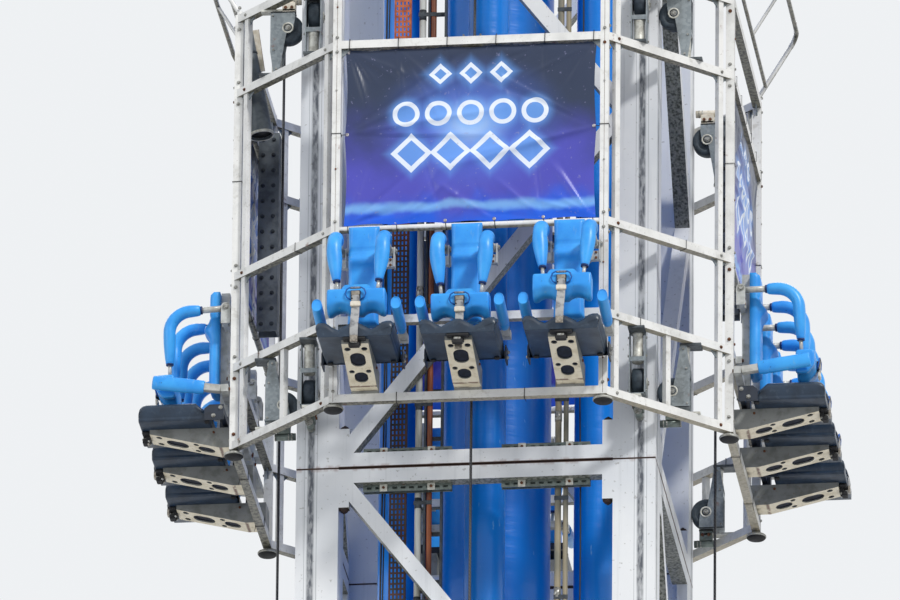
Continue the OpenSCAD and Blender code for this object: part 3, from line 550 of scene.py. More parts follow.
def seat_arm_paint():
    """Cream paint, grey on the sides as painted shade, with rust where an arm leaves the frame and along a
    seam.
    """
    p = Paint("seat_arm_paint", rough=0.45, coat=0.1)
    x, y, _ = p.split()
    u = p.minus(p.math("MAXIMUM", p.away(x), p.away(y)), FACE)
    patches = p.noise(14, 5)
    under = p.facing_down()
    # Painted shade: grey on every face of the arms, with the cream kept only on their undersides.
    p.ground(patches, 0.42, 0.68, (146, 148, 146), (122, 124, 120))
    p.over(p.mottled(patches, 0.42, 0.68, (234, 224, 200), (214, 202, 174)), under)
    p.over((96, 56, 34), 0.9, p.band(u, 0.068, 0.003, 0.012), p.flecks(0.34, 0.5, 26, 5), under)
    p.over((70, 60, 46), 0.8, p.step(u, 0.03, -0.004), p.flecks(0.38, 0.6, 20, 4), under)
    p.specks((120, 96, 66), 0.4, 0.64, 0.7, 60, 3)
    p.bump(p.noise(140, 2), 0.12, 0.0005)
    return p.done()


def seat_frame_paint():
    """Light grey frame, navy from the brackets down."""
    p = Paint("seat_frame_paint", rough=0.45, coat=0.1)
    patches = p.noise(16, 4)
    p.ground(patches, 0.4, 0.66, (196, 198, 196), (166, 168, 164))
    p.over(p.mottled(patches, 0.4, 0.66, (36, 44, 58), (24, 30, 40)),
           p.step(p.split()[2], REST + 0.258, REST + 0.254))
    p.specks(RUST, 0.6, 0.66, 0.74, 22, 5)
    p.bump(p.noise(140, 2), 0.12, 0.0005)
    return p.done()


def azure_foam():
    p = Paint("azure_foam", rough=0.36, coat=0.12, coat_rough=0.3)
    patches = p.noise(7, 4)
    p.ground(patches, 0.35, 0.7, (64, 172, 250), (42, 150, 238))
    # Painted highlight: long lighter streaks on the foam; the dark specks after them are scuffs.
    p.specks((110, 176, 228), 0.45, 0.62, 0.7, 1.0, 5, (40, 40, 12))
    p.specks((20, 60, 110), 0.5, 0.67, 0.73, 46, 4)
    p.bump(p.noise(240, 2), 0.25, 0.0006)
    p.bump(p.noise(12, 3), 0.25, 0.003)
    return p.done(patches, 0.3, 0.46)


def slate_moulding():
    p = Paint("slate_moulding", rough=0.36, coat=0.15, coat_rough=0.3)
    patches = p.noise(9, 4)
    p.ground(patches, 0.35, 0.68, (38, 56, 76), (26, 41, 58))
    p.specks((78, 92, 106), 0.3, 0.55, 0.7, 30, 5)
    p.bump(p.noise(220, 2), 0.3, 0.0006)
    return p.done(patches, 0.28, 0.5)


def webbing():
    p = Paint("webbing", rough=0.75, sheen=0.2)
    p.ground(p.noise(26, 3), 0.4, 0.65, (170, 171, 172), (112, 114, 120))
    p.bump(p.wave("Z", 120), 0.4, 0.0006)
    return p.done()


def cable_steel():
    p = Paint("cable_steel", rough=0.4, metal=0.7)
    strands = p.wave("DIAGONAL", 28)
    p.colour = p.mix(strands, (40, 40, 42), (92, 92, 94))
    p.bump(strands, 0.5, 0.001)
    return p.done()


def banner_vinyl():
    """Dark slate to indigo vinyl with a plain pattern of rings and diamonds and soft glows."""
    p = Paint("banner_vinyl", rough=0.36, coat=0.15, coat_rough=0.22, ior=1.4)
    uv = p.node("UVMap", uv_map="flat").outputs[0]
    x, z, _ = p.split(uv)
    fog = p.texture("Noise", 2.6, coords=uv, extra={"Detail": 4}).outputs[0]
    down = p.plus(p.times(z, -0.95), p.times(fog, 0.55))
    p.ground(down, 0.06, 0.56, (44, 56, 82), (80, 80, 186))
    p.over((20, 96, 226), p.step(down, 0.6, 0.8))
    p.over((150, 214, 255), 0.55, p.band(p.plus(z, p.times(fog, 0.16)), -0.375, 0.004, 0.045))
    away = p.length(p.times(x, 0.95), p.times(p.minus(z, 0.06), 1.25))
    p.over((92, 128, 232), 0.75, p.step(away, 0.6, 0.08))
    p.over((176, 214, 255), 0.8, p.step(away, 0.26, 0.0))
    for count, pitch, level, size, line, diamond in (
            (5, 0.19, 0.135, 0.066, 0.012, False), (4, 0.232, -0.11, 0.074, 0.013, True),
            (3, 0.18, 0.385, 0.038, 0.01, True)):
        moved = p.plus(x, 0.0 if count % 2 else pitch / 2)
        cell = p.math("ROUND", p.math("DIVIDE", moved, pitch))
        cell = p.math("MINIMUM", p.math("MAXIMUM", cell, -((count - 1) // 2)), count // 2)
        row, across = p.away(z, level), p.away(moved, p.times(cell, pitch))
        away = p.times(p.plus(row, across), 0.72) if diamond else p.length(row, across)
        away = p.minus(away, size)
        p.over((112, 172, 250), 0.7, p.step(away, 0.07, -0.02))
        p.over((234, 242, 255), p.step(p.away(away), line + 0.003, line))
    p.specks((150, 150, 190), 0.35, 0.64, 0.7, 38, 5)
    p.bump(p.noise(300, 2), 0.15, 0.0004)
    return p.done(fog, 0.26, 0.46)


def plain(name, base, other, rough, metal, scale, bump=0.15, coat=0.0):
    """Slightly mottled finish for small parts."""
    p = Paint(name, rough=rough, metal=metal, coat=coat)
    spots = p.noise(scale, 4)
    p.ground(spots, 0.38, 0.66, base, other)
    p.bump(p.noise(scale * 6, 2), bump, 0.0006)
    return p.done(spots, max(0.05, rough - 0.12), rough + 0.15)


M = {
    "legs": tower_white(True), "bracing": tower_white(False), "white": carriage_white(),
    "galvanised": galvanised("galvanised", (154, 162, 166), (114, 122, 127)),
    "strut": galvanised("strut_steel", (118, 128, 124), (84, 92, 88)),
    "blue": tower_blue(), "cable": cable_steel(), "tray": rusty_tray(), "pipe": service_pipe(),
    "arm": seat_arm_paint(), "frame": seat_frame_paint(), "foam": azure_foam(),
    "slate": slate_moulding(), "webbing": webbing(), "vinyl": banner_vinyl(),
}
# Key, name, two colours, roughness, metal, scale of the mottling, and bump and coat where they differ
for key, *look in (
        ("steel", "dark_steel", (70, 76, 82), (48, 52, 58), 0.5, 0.4, 18),
        ("column", "column_steel", (110, 117, 122), (82, 89, 95), 0.5, 0.1, 14),
        ("tyre", "tyre", (54, 66, 76), (38, 48, 58), 0.6, 0.0, 30, 0.3),
        ("rubber", "rubber", (34, 34, 36), (24, 24, 26), 0.7, 0.0, 26, 0.3),
        ("zinc", "zinc_bolt", (176, 176, 172), (120, 118, 110), 0.35, 0.6, 90),
        ("rust", "rusty_bolt", (120, 74, 46), (66, 44, 34), 0.8, 0.0, 90, 0.4),
        ("tie", "black_tie", (26, 26, 28), (18, 18, 20), 0.45, 0.0, 40),
        ("tube", "grey_tube", (196, 196, 192), (166, 166, 160), 0.35, 0.1, 22, 0.15, 0.2),
        ("collar", "navy_collar", (14, 52, 110), (10, 38, 84), 0.5, 0.0, 40),
        ("hub", "wheel_hub", (92, 98, 102), (66, 70, 74), 0.4, 0.5, 30),
        ("ring", "bearing_ring", (190, 184, 188), (140, 134, 138), 0.3, 0.5, 60),
        ("washer", "white_washer", (214, 214, 206), (180, 178, 168), 0.5, 0.2, 40),
        ("cream", "cream_block", (230, 223, 210), (206, 196, 176), 0.5, 0.0, 26),
        ("seam", "post_seam", (124, 98, 84), (88, 70, 62), 0.8, 0.0, 40),
        ("cup", "bumper_cup", (188, 188, 182), (140, 138, 130), 0.45, 0.3, 30),
        # Darker blue rim round the buckle: painted shade of its groove
        ("ridge", "foam_ridge", (22, 104, 190), (14, 84, 164), 0.4, 0.0, 30),
        # Dark sheet inside the seat arms: painted shade
        ("hollow", "arm_hollow", (18, 26, 44), (12, 18, 32), 0.7, 0.0, 30),
        ("cap", "rusty_cap", (52, 34, 28), (30, 24, 26), 0.7, 0.0, 60, 0.4),
        ("buckle", "buckle_metal", (170, 162, 150), (120, 114, 106), 0.3, 0.7, 60)):
    M[key] = plain(*look)

# CAD nodes that stay in view, by material
CARRIED = {
    "legs": "tower_legs",
    "bracing": "bracing_front bracing_right bracing_rear bracing_left splice_stubs",
    "blue": "air_receiver launch_cylinders",
    "galvanised": "base_plates head_deck sheave_brackets",
    "cable": "hoist_cables cable_bends",
    "strut": "strut_channels",
    "pipe": "service_pipes",
    "steel": "sheaves cable_ladder",
    "column": "cable_columns tapered_tube",
    "arm": "seat_arms",
    "frame": "seat_frames",
    "white": "carriage_front carriage_right carriage_rear carriage_left guard_hoops "
             "corner_front_right corner_rear_right corner_rear_left corner_front_left",
}
for key, names in CARRIED.items():
    for name in names.split():
        me = NODES[name].data
        me.materials.clear()
        me.materials.append(M[key])


# ---- seats


def seat_pan_mesh():
    """Moulded saddle pan: bolsters at both sides, thigh channels between them and a low pommel."""
    low, high, back, front = 0.1685, 0.274, 0.117, 0.539
    stations, even, nose_l, rear_l, skirt = 26, 0.85, 0.045, 0.085, 0.03
    shape, rings = Shape(), []
    for i in range(stations):
        s = i / (stations - 1)
        s = s if s < even else even + (1 - even) * sin((s - even) / (1 - even) * pi / 2)
        u = back + (front - back) * s
        rear = min(1.0, (u - back) / rear_l)
        nose = sqrt(max(0.0, 1.0 - max(0.0, (u - front + nose_l) / nose_l) ** 2))
        top = low + skirt + (high - low - skirt) * rear * (0.45 + 0.55 * nose)
        wide = 0.23 - 0.01 * (1 - nose)
        half = [(0.0, low), (0.204, low), (0.211, low + 0.003), (0.217, low + 0.016),
                (0.214, low + 0.019), (0.219, low + 0.024), (wide - 0.006, low + 0.056),
                (wide, top - 0.032), (wide - 0.004, top - 0.014), (wide - 0.018, top - 0.002)]
        for x in (0.185, 0.16, 0.128, 0.095, 0.062, 0.034, 0.012):
            channel = (0.018 + 0.034 * s) * exp(-((x - 0.1) / 0.045) ** 2)
            middle = 0.016 * s * exp(-(x / 0.06) ** 2)
            pommel = 0.014 * s * exp(-(x / 0.03) ** 2)
            half.append((x, top - (channel + middle - pommel) * rear))
        rings.append([out(x, u, z) for x, z in half] + [out(-x, u, z) for x, z in half[:0:-1]])
    shape.rings(rings, "slate")
    for x in (-0.186, 0.186):
        shape.box((x - 0.016, -0.15, 0.156), (x + 0.016, -0.122, 0.1682), "rubber", 0.004)
    shape.middle_box(0.066, (0.494, 0.538), (0.15, 0.1682), "rubber", 0.005)
    return shape.mesh("seat_pan")


def back_pad_mesh():
    """Closed pad with a crowned front, pulled-in sides, two seams and a roll between them."""
    half_w, low, high, back, depth, edge = 0.09, 0.402, 1.026, 0.0825, 0.06, 0.022
    seam_z, roll_z = (0.722, 0.868), 0.796
    nx, nz = 17, 45
    front_grid, back_grid = [], []
    for j in range(nz):
        v = j / (nz - 1)
        z = low + (high - low) * v
        from_end = min(v, 1 - v) * (high - low)
        seam = min(1.0, sum(exp(-((z - middle) / 0.005) ** 2) for middle in seam_z))
        roll = 0.036 * exp(-((z - roll_z) / 0.034) ** 2)
        for i in range(nx):
            s = -1 + 2 * i / (nx - 1)
            x = s * half_w * (1 - 0.03 * sin(pi * v * 3) ** 2)
            near = min((1 - abs(s)) * half_w, from_end, edge)
            fall = 1 - sqrt(max(0.0, 1 - (1 - near / edge) ** 2))
            u = back + depth - edge * fall + 0.004 * (1 - s * s) * min(1, from_end / 0.05)
            u += (roll * (1 - 0.15 * s * s) - 0.007 * seam) * (1 - fall)
            front_grid.append(out(x, u, z))
            back_grid.append(out(x, back, z))
    return Shape().slab(front_grid, back_grid, nx, "foam", True).mesh("back_pad")


def sleeve_mesh():
    """Oval foam sleeve with a cut collar at its root and a recessed plain end cap, along -Y."""
    wide, tall = 0.0305, 0.0425
    oval = [(wide * copysign(abs(cos(q)) ** 0.86, cos(q)), tall * copysign(abs(sin(q)) ** 0.92, sin(q)))
            for q in turns(28)]
    marks = [(0.000, 0.88), (0.005, 0.94), (0.046, 1.00), (0.058, 0.96), (0.063, 0.96), (0.072, 1.01),
             (0.15, 1.02), (0.23, 1.01), (0.294, 1.00), (0.303, 0.97), (0.308, 0.91), (0.307, 0.84),
             (0.3035, 0.82)]
    rings = [[(k * x, -y, k * z) for x, z in oval] for y, k in marks]
    return Shape().rings(rings, "foam").mesh("armrest_sleeve")


def lap_block(shape):
    """Rounded lap block with a cut-back lower front, an arch over each thigh and a tab on top."""
    mid_u, mid_z, half, soft = 0.416, 0.425, 0.171, 0.013
    side = rounded([(0.36, 0.35), (0.43, 0.35), (0.472, 0.404), (0.472, 0.5), (0.36, 0.5)], 0.022)
    ends = [half, half - 0.002, half - 0.006, half - soft]
    rings = []
    for x in [-x for x in ends] + [-0.15 + 0.0125 * i for i in range(25)] + ends[::-1]:
        near = min(half - abs(x), soft) / soft
        k = 1 - 0.011 / 0.07 * (1 - sqrt(max(0.0, 1 - (1 - near) ** 2)))
        from_thigh = abs(abs(x) - 0.089)
        arch = max(0.0, sqrt(max(0.0, 0.065 ** 2 - from_thigh ** 2)) - 0.039)
        ring = []
        for u, z in side:
            lift = arch * max(0.0, min(1.0, (mid_z - z) / 0.06))
            ring.append(out(x, mid_u + (u - mid_u) * k, mid_z + (z - mid_z) * k + lift))
        rings.append(ring)
    shape.rings(rings, "foam")
    tab = mirrored([(-0.088, 0.494), (-0.084, 0.506), (-0.074, 0.519), (-0.066, 0.5235)])
    shape.rings([[out(x * k, u, z) for x, z in tab]
                 for u, k in ((0.376, 0.96), (0.38, 1.0), (0.456, 1.0), (0.461, 0.96))], "foam", False)


def on_tube(x, t):
    """Point (x, u, z) of a harness tube's straight part, t from 0 at its top to 1 at its end."""
    return Vector((x, 0.38, 0.768)) + Vector((copysign(0.028, -x), 0.012, -0.288)) * t


def foam_rows(x):
    """Points (x, u, z) of a shoulder foam's centre line with its half width and half thickness."""
    bend = 0.13
    rows = [((x, u, PIVOT[1]), a, b) for u, a, b in (
        (0.19, 0.023, 0.023), (0.194, 0.029, 0.029), (0.204, 0.0335, 0.032), (0.222, 0.037, 0.034),
        (0.238, 0.039, 0.035))]
    for i in range(13):
        q = radians(90 - 7.5 * i)
        point = (x, 0.25 + bend * cos(q), PIVOT[1] - bend + bend * sin(q))
        rows.append((point, 0.04 + 0.004 * i / 12, 0.036))
    return rows + [(on_tube(x, t), a, b) for t, a, b in (
        (0.06, 0.045, 0.0365), (0.16, 0.0445, 0.036), (0.28, 0.041, 0.0345), (0.4, 0.036, 0.032),
        (0.52, 0.0305, 0.0285), (0.6, 0.0265, 0.0255), (0.64, 0.024, 0.024), (0.655, 0.02, 0.02))]


def harness_meshes():
    """Foam, and hardware, of one harness."""
    foam, metal = Shape(), Shape()
    across = Vector((1, 0, 0))
    for x in (-TUBE_X, TUBE_X):
        rows = foam_rows(x)
        path = [out(*point) for point, _, _ in rows]
        rings = []
        for i, (_, a, b) in enumerate(rows):
            t = tangent(path, i)
            side = (across - t * across.dot(t)).normalized()
            other = t.cross(side)
            rings.append([path[i] + side * a * cos(q) + other * b * sin(q) for q in turns(20)])
        foam.rings(rings, "foam")
        metal.rod(out(x - 0.02, *PIVOT), out(x + 0.02, *PIVOT), 0.026, "tube", 24)
        metal.rod(out(x, PIVOT[0] + 0.014, PIVOT[1]), out(x, 0.2, PIVOT[1]), 0.0188, "tube", 20)
        metal.rod(out(x, 0.18, PIVOT[1]), out(x, 0.193, PIVOT[1]), 0.0245, "collar", 20)
        for start, end, r, mat, n in ((0.6, 0.98, 0.0108, "tube", 14), (0.6456, 0.6836, 0.0225, "collar", 16),
                                      (0.9154, 0.9344, 0.017, "collar", 16)):
            metal.rod(out(*on_tube(x, start)), out(*on_tube(x, end)), r, mat, n)
    lap_block(foam)

    # Buckle on the lap block, with a darker blue rim round it as painted shade of the groove there
    half_rim = [(0.03, 0.476, 0.424), (0.052, 0.482, 0.436), (0.06, 0.488, 0.458), (0.052, 0.49, 0.482),
                (0.036, 0.491, 0.492)]
    metal.tube([out(-x, u, z) for x, u, z in half_rim] + [out(*q) for q in half_rim[::-1]],
               0.0046, "ridge", 8)
    metal.middle_box(0.029, (0.4715, 0.486), (0.432, 0.478), "steel")
    metal.middle_box(0.024, (0.484, 0.4925), (0.446, 0.474), "buckle")
    metal.rod(out(-0.03, 0.489, 0.492), out(0.03, 0.489, 0.492), 0.0065, "buckle", 10)
    metal.middle_box(0.026, (0.474, 0.489), (0.42, 0.434), "tie")

    # Belt from the buckle to the latch, with its slider and its tongue
    path = [Vector(q) for q in (
        (0.488, 0.452), (0.489, 0.424), (0.4855, 0.398), (0.482, 0.372), (0.49, 0.34), (0.51, 0.302),
        (0.532, 0.262), (0.546, 0.224), (0.549, 0.192), (0.5455, 0.164))]
    rings = []
    for i, q in enumerate(path):
        half = 0.024 if i else 0.02
        ahead = tangent(path, i)
        thick = Vector((-ahead.y, ahead.x)) * 0.0016
        twist = 0.0035 * sin(i * 0.9)
        rings.append([out(s * half, q.x + face * thick.x + s * twist, q.y + face * thick.y)
                      for s, face in ((-1, 1), (1, 1), (1, -1), (-1, -1))])
    metal.rings(rings, "webbing", False)
    metal.middle_box(0.03, (0.478, 0.4935), (0.376, 0.408), "cream", 0.004)
    metal.middle_box(0.022, (0.54, 0.5535), (0.13, 0.172), "buckle")
    return foam.mesh("harness_foam"), metal.mesh("harness_metal")


def seat_hardware_mesh():
    """Pivot bolts, latch, bracket bolts and lugs of one seat, and a dark sheet inside the seat's arm as
    painted shade.
    """
    shape = Shape()
    for sign in (-1, 1):
        outward = (sign, 0, 0)
        for inner in (1, -1):
            shape.bolt(out(sign * (TUBE_X + inner * 0.0335), *PIVOT), (sign * inner, 0, 0),
                       0.015, "zinc", 0.02, 0.009)
        for u, z in ((0.05, 0.232), (0.092, 0.182)):
            shape.bolt(out(sign * 0.24, u, z), outward, 0.009, "zinc", 0.013)
        shape.bolt(out(sign * 0.232, 0.004, 0.35), (0, 1, 0), 0.01, "rust")
        for z in (0.805, 0.838):
            shape.bolt(out(sign * 0.15, 0.0575, z), FRONT, 0.008, "rust")
        shape.bolt(out(sign * 0.045, 0.0325, 0.49), FRONT, 0.01, "rust", 0.014)
        shape.bolt(out(sign * 0.0795, 0.11, 0.14), outward, 0.008, "rust")
        shape.bolt(out(sign * 0.027, 0.5, 0.122), (0, 0, -1), 0.007, "zinc")
    shape.middle_box(0.036, (0.4905, 0.516), (0.122, 0.166), "rubber", 0.004)
    shape.middle_box(0.03, (0.504, 0.538), (0.106, 0.134), "rubber", 0.004)
    shape.middle_box(0.02, (0.514, 0.542), (0.128, 0.142), "zinc")
    # Painted shade: a thin dark sheet inside the arm, seen through the holes in its underside.
    hollow = [(0.02, 0.0515), (0.072, 0.0515), (0.47, 0.148), (0.47, 0.15), (0.072, 0.0545),
              (0.02, 0.0545)]
    shape.rings([[out(x, u, z) for u, z in hollow] for x in (-0.0705, 0.0705)], "hollow", False)
    return shape.mesh("seat_hardware")


pan_mesh, pad_mesh, sleeve, hardware = seat_pan_mesh(), back_pad_mesh(), sleeve_mesh(), seat_hardware_mesh()
foam_mesh, metal_mesh = harness_meshes()
rest_tube = Shape().box((-0.022, -0.15, -0.022), (0.022, -0.0005, 0.022), "tube", 0.003).mesh("armrest_tube")

for k, side in enumerate(SIDES):
    for n in (1, 2, 3):
        tag = f"{side}_{n}"
        at = seat_at(k, n)
        place(f"seat_pan_{tag}", pan_mesh, "carriage", "slate", at, "seat_pans")
        pad = place(f"back_pad_{tag}", pad_mesh, "carriage", "azure", at, "back_pads")
        place(f"seat_hardware_{tag}", hardware, "carriage", "galvanised", at)
        for sign, hand in ((-1, "left"), (1, "right")):
            tilt = at @ move(sign * 0.231, -0.0505, 0.35) @ Matrix.Rotation(radians(-8), 4, "X")
            place(f"armrest_tube_{tag}_{hand}", rest_tube, "carriage", "azure", tilt, "armrests")
            foam = place(f"armrest_sleeve_{tag}_{hand}", sleeve, "carriage", "azure",
                         tilt @ move(0, -0.099, 0), "armrests")
        harness = f"harness_{tag}"
        swing = harness_at(k, n)
        foam = place(f"harness_foam_{tag}", foam_mesh, harness, "azure", swing, harness)
        place(f"harness_metal_{tag}", metal_mesh, harness, "dark_steel", swing, harness)


# ---- rollers


def roller_pair():
    """The two wheels of one axle line, with hubs and bearing rings."""
    shape = Shape()
    for x in (-WHEEL_X, WHEEL_X):
        at = move(x, 0, 0)
        shape.lathe(mirrored([(0.031, 0.06), (0.034, 0.066), (0.034, 0.083), (0.028, 0.0895)]),
                    "tyre", 40, at)
        shape.lathe(mirrored([(0.026, 0.0155), (0.033, 0.018), (0.033, 0.028), (0.022, 0.031),
                              (0.02, 0.056), (0.03, 0.0605)]), "hub", 32, at)
        for s in (-1, 1):
            shape.lathe([(s * 0.0215, 0.04), (s * 0.0265, 0.042), (s * 0.0265, 0.05),
                         (s * 0.0215, 0.052)], "ring", 32, at)
    return shape.mesh("roller_pair")


pair = roller_pair()
for k, side in enumerate(SIDES):
    for level, z in AXLE_Z.items():
        body = f"rollers_{side}_{level}"
        place(f"wheels_{side}_{level}", pair, body, "rubber", on_carriage(k) @ move(0, -WHEEL_D, z), body)


# ---- banners


def banner_ties():
    """Places (x, z) of a banner's ties with the pull of each: six above, six below, one a side."""
    corner_x = BANNER_X - TIE_IN
    ties = [(-corner_x + i * 2 * corner_x / 5, z, 1.0) for z in (BANNER_HIGH, BANNER_LOW) for i in range(6)]
    side_z = BANNER_LOW + (BANNER_HIGH - BANNER_LOW) * 0.52
    return ties + [(-BANNER_X, side_z, 1.9), (BANNER_X, side_z, 1.9)]


def banner_sheet_mesh():
    """Vinyl sheet stretched between its ties, with creases that start at them."""
    half_w, low, high = BANNER_X, BANNER_LOW, BANNER_HIGH
    middle, tall, corner_x = (low + high) / 2, high - low, BANNER_X - TIE_IN
    nx, nz = 130, 98
    creases = []
    for tx, tz, power in banner_ties():
        for _ in range(5 if abs(tx) > corner_x - 0.001 else 3):
            aim = atan2(middle - tz, -tx) + rng.uniform(-0.75, 0.75)
            creases.append((tx, tz, cos(aim), sin(aim), rng.uniform(0.25, 0.6) * power,
                            rng.choice((-1, 1)) * rng.uniform(0.5, 1) * power))
    verts, faces = [], []
    for j in range(nz + 1):
        z = low + tall * j / nz
        side_pull = 0.012 * abs(sin((z - low) / tall * 2 * pi))
        for i in range(nx + 1):
            x = -half_w + 2 * half_w * i / nx
            pull = 0.01 * abs(sin((x + corner_x) / (2 * corner_x) * 5 * pi))
            zz = z + pull * (max(0, (low + 0.1 - z) / 0.1) - max(0, (z - high + 0.1) / 0.1))
            xx = x * (1 - side_pull / half_w * max(0, (abs(x) - half_w + 0.12) / 0.12))
            y = 0.013 * noise.noise(Vector((x * 1.6, z * 1.6, 3.1))) - 0.004
            for tx, tz, c, s, reach, depth in creases:
                dx, dz = x - tx, z - tz
                along, across = dx * c + dz * s, dz * c - dx * s
                width = 0.007 + 0.05 * along
                if 0 < along <= reach and abs(across) < width * 2.2:
                    fade = sin(pi * along / reach) ** 0.7
                    y += depth * 0.0128 * fade * exp(-1.5 * hypot(across, 0.003) / width)
            near = min(1.0, (half_w - abs(x)) / 0.05, min(high - z, z - low) / 0.05 + 0.15)
            verts.append((xx, max(-0.022, min(0.016, y)) * (0.25 + 0.75 * near), zz))
            if i < nx and j < nz:
                a = j * (nx + 1) + i
                faces.append((a, a + 1, a + nx + 2, a + nx + 1))
    me = Shape().add(verts, faces, "vinyl", True).mesh("banner")
    layer = me.uv_layers.new(name="flat")
    for loop in me.loops:
        co = me.vertices[loop.vertex_index].co
        layer.data[loop.index].uv = (co.x, co.z - middle)
    return me


def banner_ties_mesh():
    """Grommets of one banner, and the ties from them to the rails and posts."""
    shape = Shape()
    banner_z, back_z, back_r = RAIL_Z["banner"], RAIL_Z["back"], 0.022
    for tx, tz, _ in banner_ties():
        sign = copysign(1, tx)
        at_side, at_top = abs(tx) > BANNER_X - 0.001, tz == BANNER_HIGH
        dx, dz = (-0.014 * sign, 0.0) if at_side else (0.0, -0.016 if at_top else 0.016)
        shape.lathe([(-0.003, 0.005), (-0.003, 0.0105), (0.003, 0.0105), (0.003, 0.005)], "ring", 16,
                    move(tx + dx, 0, tz + dz) @ Matrix.Rotation(pi / 2, 4, "Z"))
        start = (tx + dx * 0.5, 0, tz + dz * 0.5)
        if at_side:
            shape.tie((sign * POST_X, 0, tz), 0.028, sign * 0.0005, upright=True)
            shape.rod(start, (sign * (POST_X - 0.027), 0, tz), 0.0022, "tie", 6)
        elif at_top:
            shape.tie((tx, 0, banner_z), 0.031, 0.002)
            shape.rod(start, (tx, 0, banner_z - 0.03), 0.0025, "tie", 6)
        else:
            loop = [(tx + 0.001 * i, back_r * cos(i * pi / 6), back_z + back_r * sin(i * pi / 6))
                    for i in range(13)]
            shape.tube(loop, 0.0022, "tie", 6)
            shape.rod(start, (tx, 0, back_z + back_r), 0.0025, "tie", 6)
    return shape.mesh("banner_ties")


banner, ties = banner_sheet_mesh(), banner_ties_mesh()
for k, side in enumerate(SIDES):
    at = on_carriage(k) @ move(0, -POST_D, 0)
    sheet = place(f"banner_sheet_{side}", banner, "carriage", "vinyl", at, f"banner_{side}")
    knots = place(f"banner_ties_{side}", ties, "carriage", "vinyl", at)


# ---- tower


def tray_mesh():
    """Perforated tray: a channel of thin sheet, its web pierced by four rows of slots."""
    left, width, depth, wall = -0.517, 0.1, 0.03, 0.0022
    pitch, slot_w, slot_l, slot_gap = 0.0333, 0.009, 0.021, 0.022
    cuts, levels = [left], [FIRST_BEAM]
    for i in range(4):
        middle = left + width / 2 + (i - 1.5) * slot_gap
        cuts += [middle - slot_w / 2, middle + slot_w / 2]
    for j in range(int((TOP_BEAM - FIRST_BEAM) / pitch)):
        middle = FIRST_BEAM + (j + 0.5) * pitch
        levels += [middle - slot_l / 2, middle + slot_l / 2]
    cuts.append(left + width)
    levels.append(TOP_BEAM)
    front, back = ([(x, y - BEAM_BACK, z) for z in levels for x in cuts] for y in (0.0, wall))
    shape = Shape().slab(front, back, len(cuts), "tray", hole=lambda i, j: i % 2 and j % 2)
    for x in (left, left + width - wall):
        shape.box((x, wall - BEAM_BACK, FIRST_BEAM), (x + wall, depth - BEAM_BACK, TOP_BEAM), "tray")
    return shape.mesh("tray")


def service_trim():
    """Clips, washers, cable bundle and couplings inside the front bracing."""
    shape = Shape()
    pipe, conduit = (-0.35, -0.945), (0.472, -0.946)
    for z in (1.4 + 0.62 * i for i in range(21)):
        for left, right in ((-0.374, -0.266), (0.452, 0.536)):
            shape.box((left, -0.966, z), (right, -0.962, z + 0.026), "steel", 0.001)
        shape.rod((*pipe, z - 0.02), (*pipe, z + 0.045), 0.0215, "steel", 20)
    for z in (2.0 + 1.107 * i for i in range(11)):
        shape.rod((*pipe, z), (*pipe, z + 0.07), 0.0235, "zinc", 20)
        shape.rod((*conduit, z + 0.3), (*conduit, z + 0.36), 0.0215, "zinc", 20)
    levels = [FIRST_BEAM + 0.1 * i for i in range(int((TOP_BEAM - FIRST_BEAM) * 10))]
    for x, r in ((-0.56, 0.006), (-0.548, 0.0045), (0.6, 0.005)):
        shape.tube([(x + 0.006 * sin(z * 1.9 + x * 40), -0.951 + 0.003 * sin(z * 2.7), z) for z in levels],
                   r, "tie", 6)
    strut_x, strut_up, strut_face, washer = LEG_IN - 0.399, 0.1145, -1.013, 0.022
    for z in (splice + side * strut_up for splice in SPLICES for side in (-1, 1)):
        for x in (sign * strut_x + dx for sign in (-1, 1) for dx in (-0.14, 0.14)):
            shape.box((x - washer, strut_face, z - washer), (x + washer, -1.0062, z + washer),
                      "washer", 0.001)
            shape.bolt((x, strut_face, z), FRONT, 0.009, "rust")
    return shape.mesh("service_trim")


def tower_trim():
    """Splice caps, foot ribs and anchor nuts of the tower."""
    shape = Shape()
    cap = [(0.0, 0.03), (0.006, 0.03), (0.015, 0.0235), (0.02, 0.02), (0.0215, 0.012)]
    rib = [(0.0, 0.0), (0.085, 0.0), (0.085, 0.02), (0.02, 0.16), (0.0, 0.16)]
    leg, bolt_gap = 0.93, 0.175
    for turn in map(side_turn, range(4)):
        for x in (-1, 1):
            for z, end in ((z, end) for z in SPLICES for end in (-1, 1)):
                at = turn @ facing((x * (LEG_IN - 0.031), 0.031 - TOWER_D, z + end * 0.246), (0, 0, end))
                shape.lathe(cap, "cap", 20, at @ X_UP)
                shape.bolt((0, 0, 0.0215), UP, 0.009, "cap", at=at)
            for dx in (-bolt_gap, bolt_gap):
                foot = turn @ move(x * leg + dx, -leg - bolt_gap, BASE_TOP)
                shape.bolt((0, 0, 0), UP, 0.028, "zinc", 0.034, 0.026, foot)
                shape.rod((0, 0, 0.02), (0, 0, 0.075), 0.015, "zinc", at=foot)
            for dy in (-0.1, 0.1):
                shape.gusset(rib, x, 0.006, turn @ move(x * TOWER_D, dy - leg, BASE_TOP))
    return shape.mesh("tower_trim")


place("perforated_tray", tray_mesh(), "tower", "rusty_tray", None, "cable_tray")
place("service_trim", service_trim(), "tower", "galvanised")
place("tower_trim", tower_trim(), "tower", "galvanised")


# ---- carriage trim


def bolt_finish():
    """One bolt in five has rusted."""
    return "rust" if rng.random() < 0.2 else "zinc"


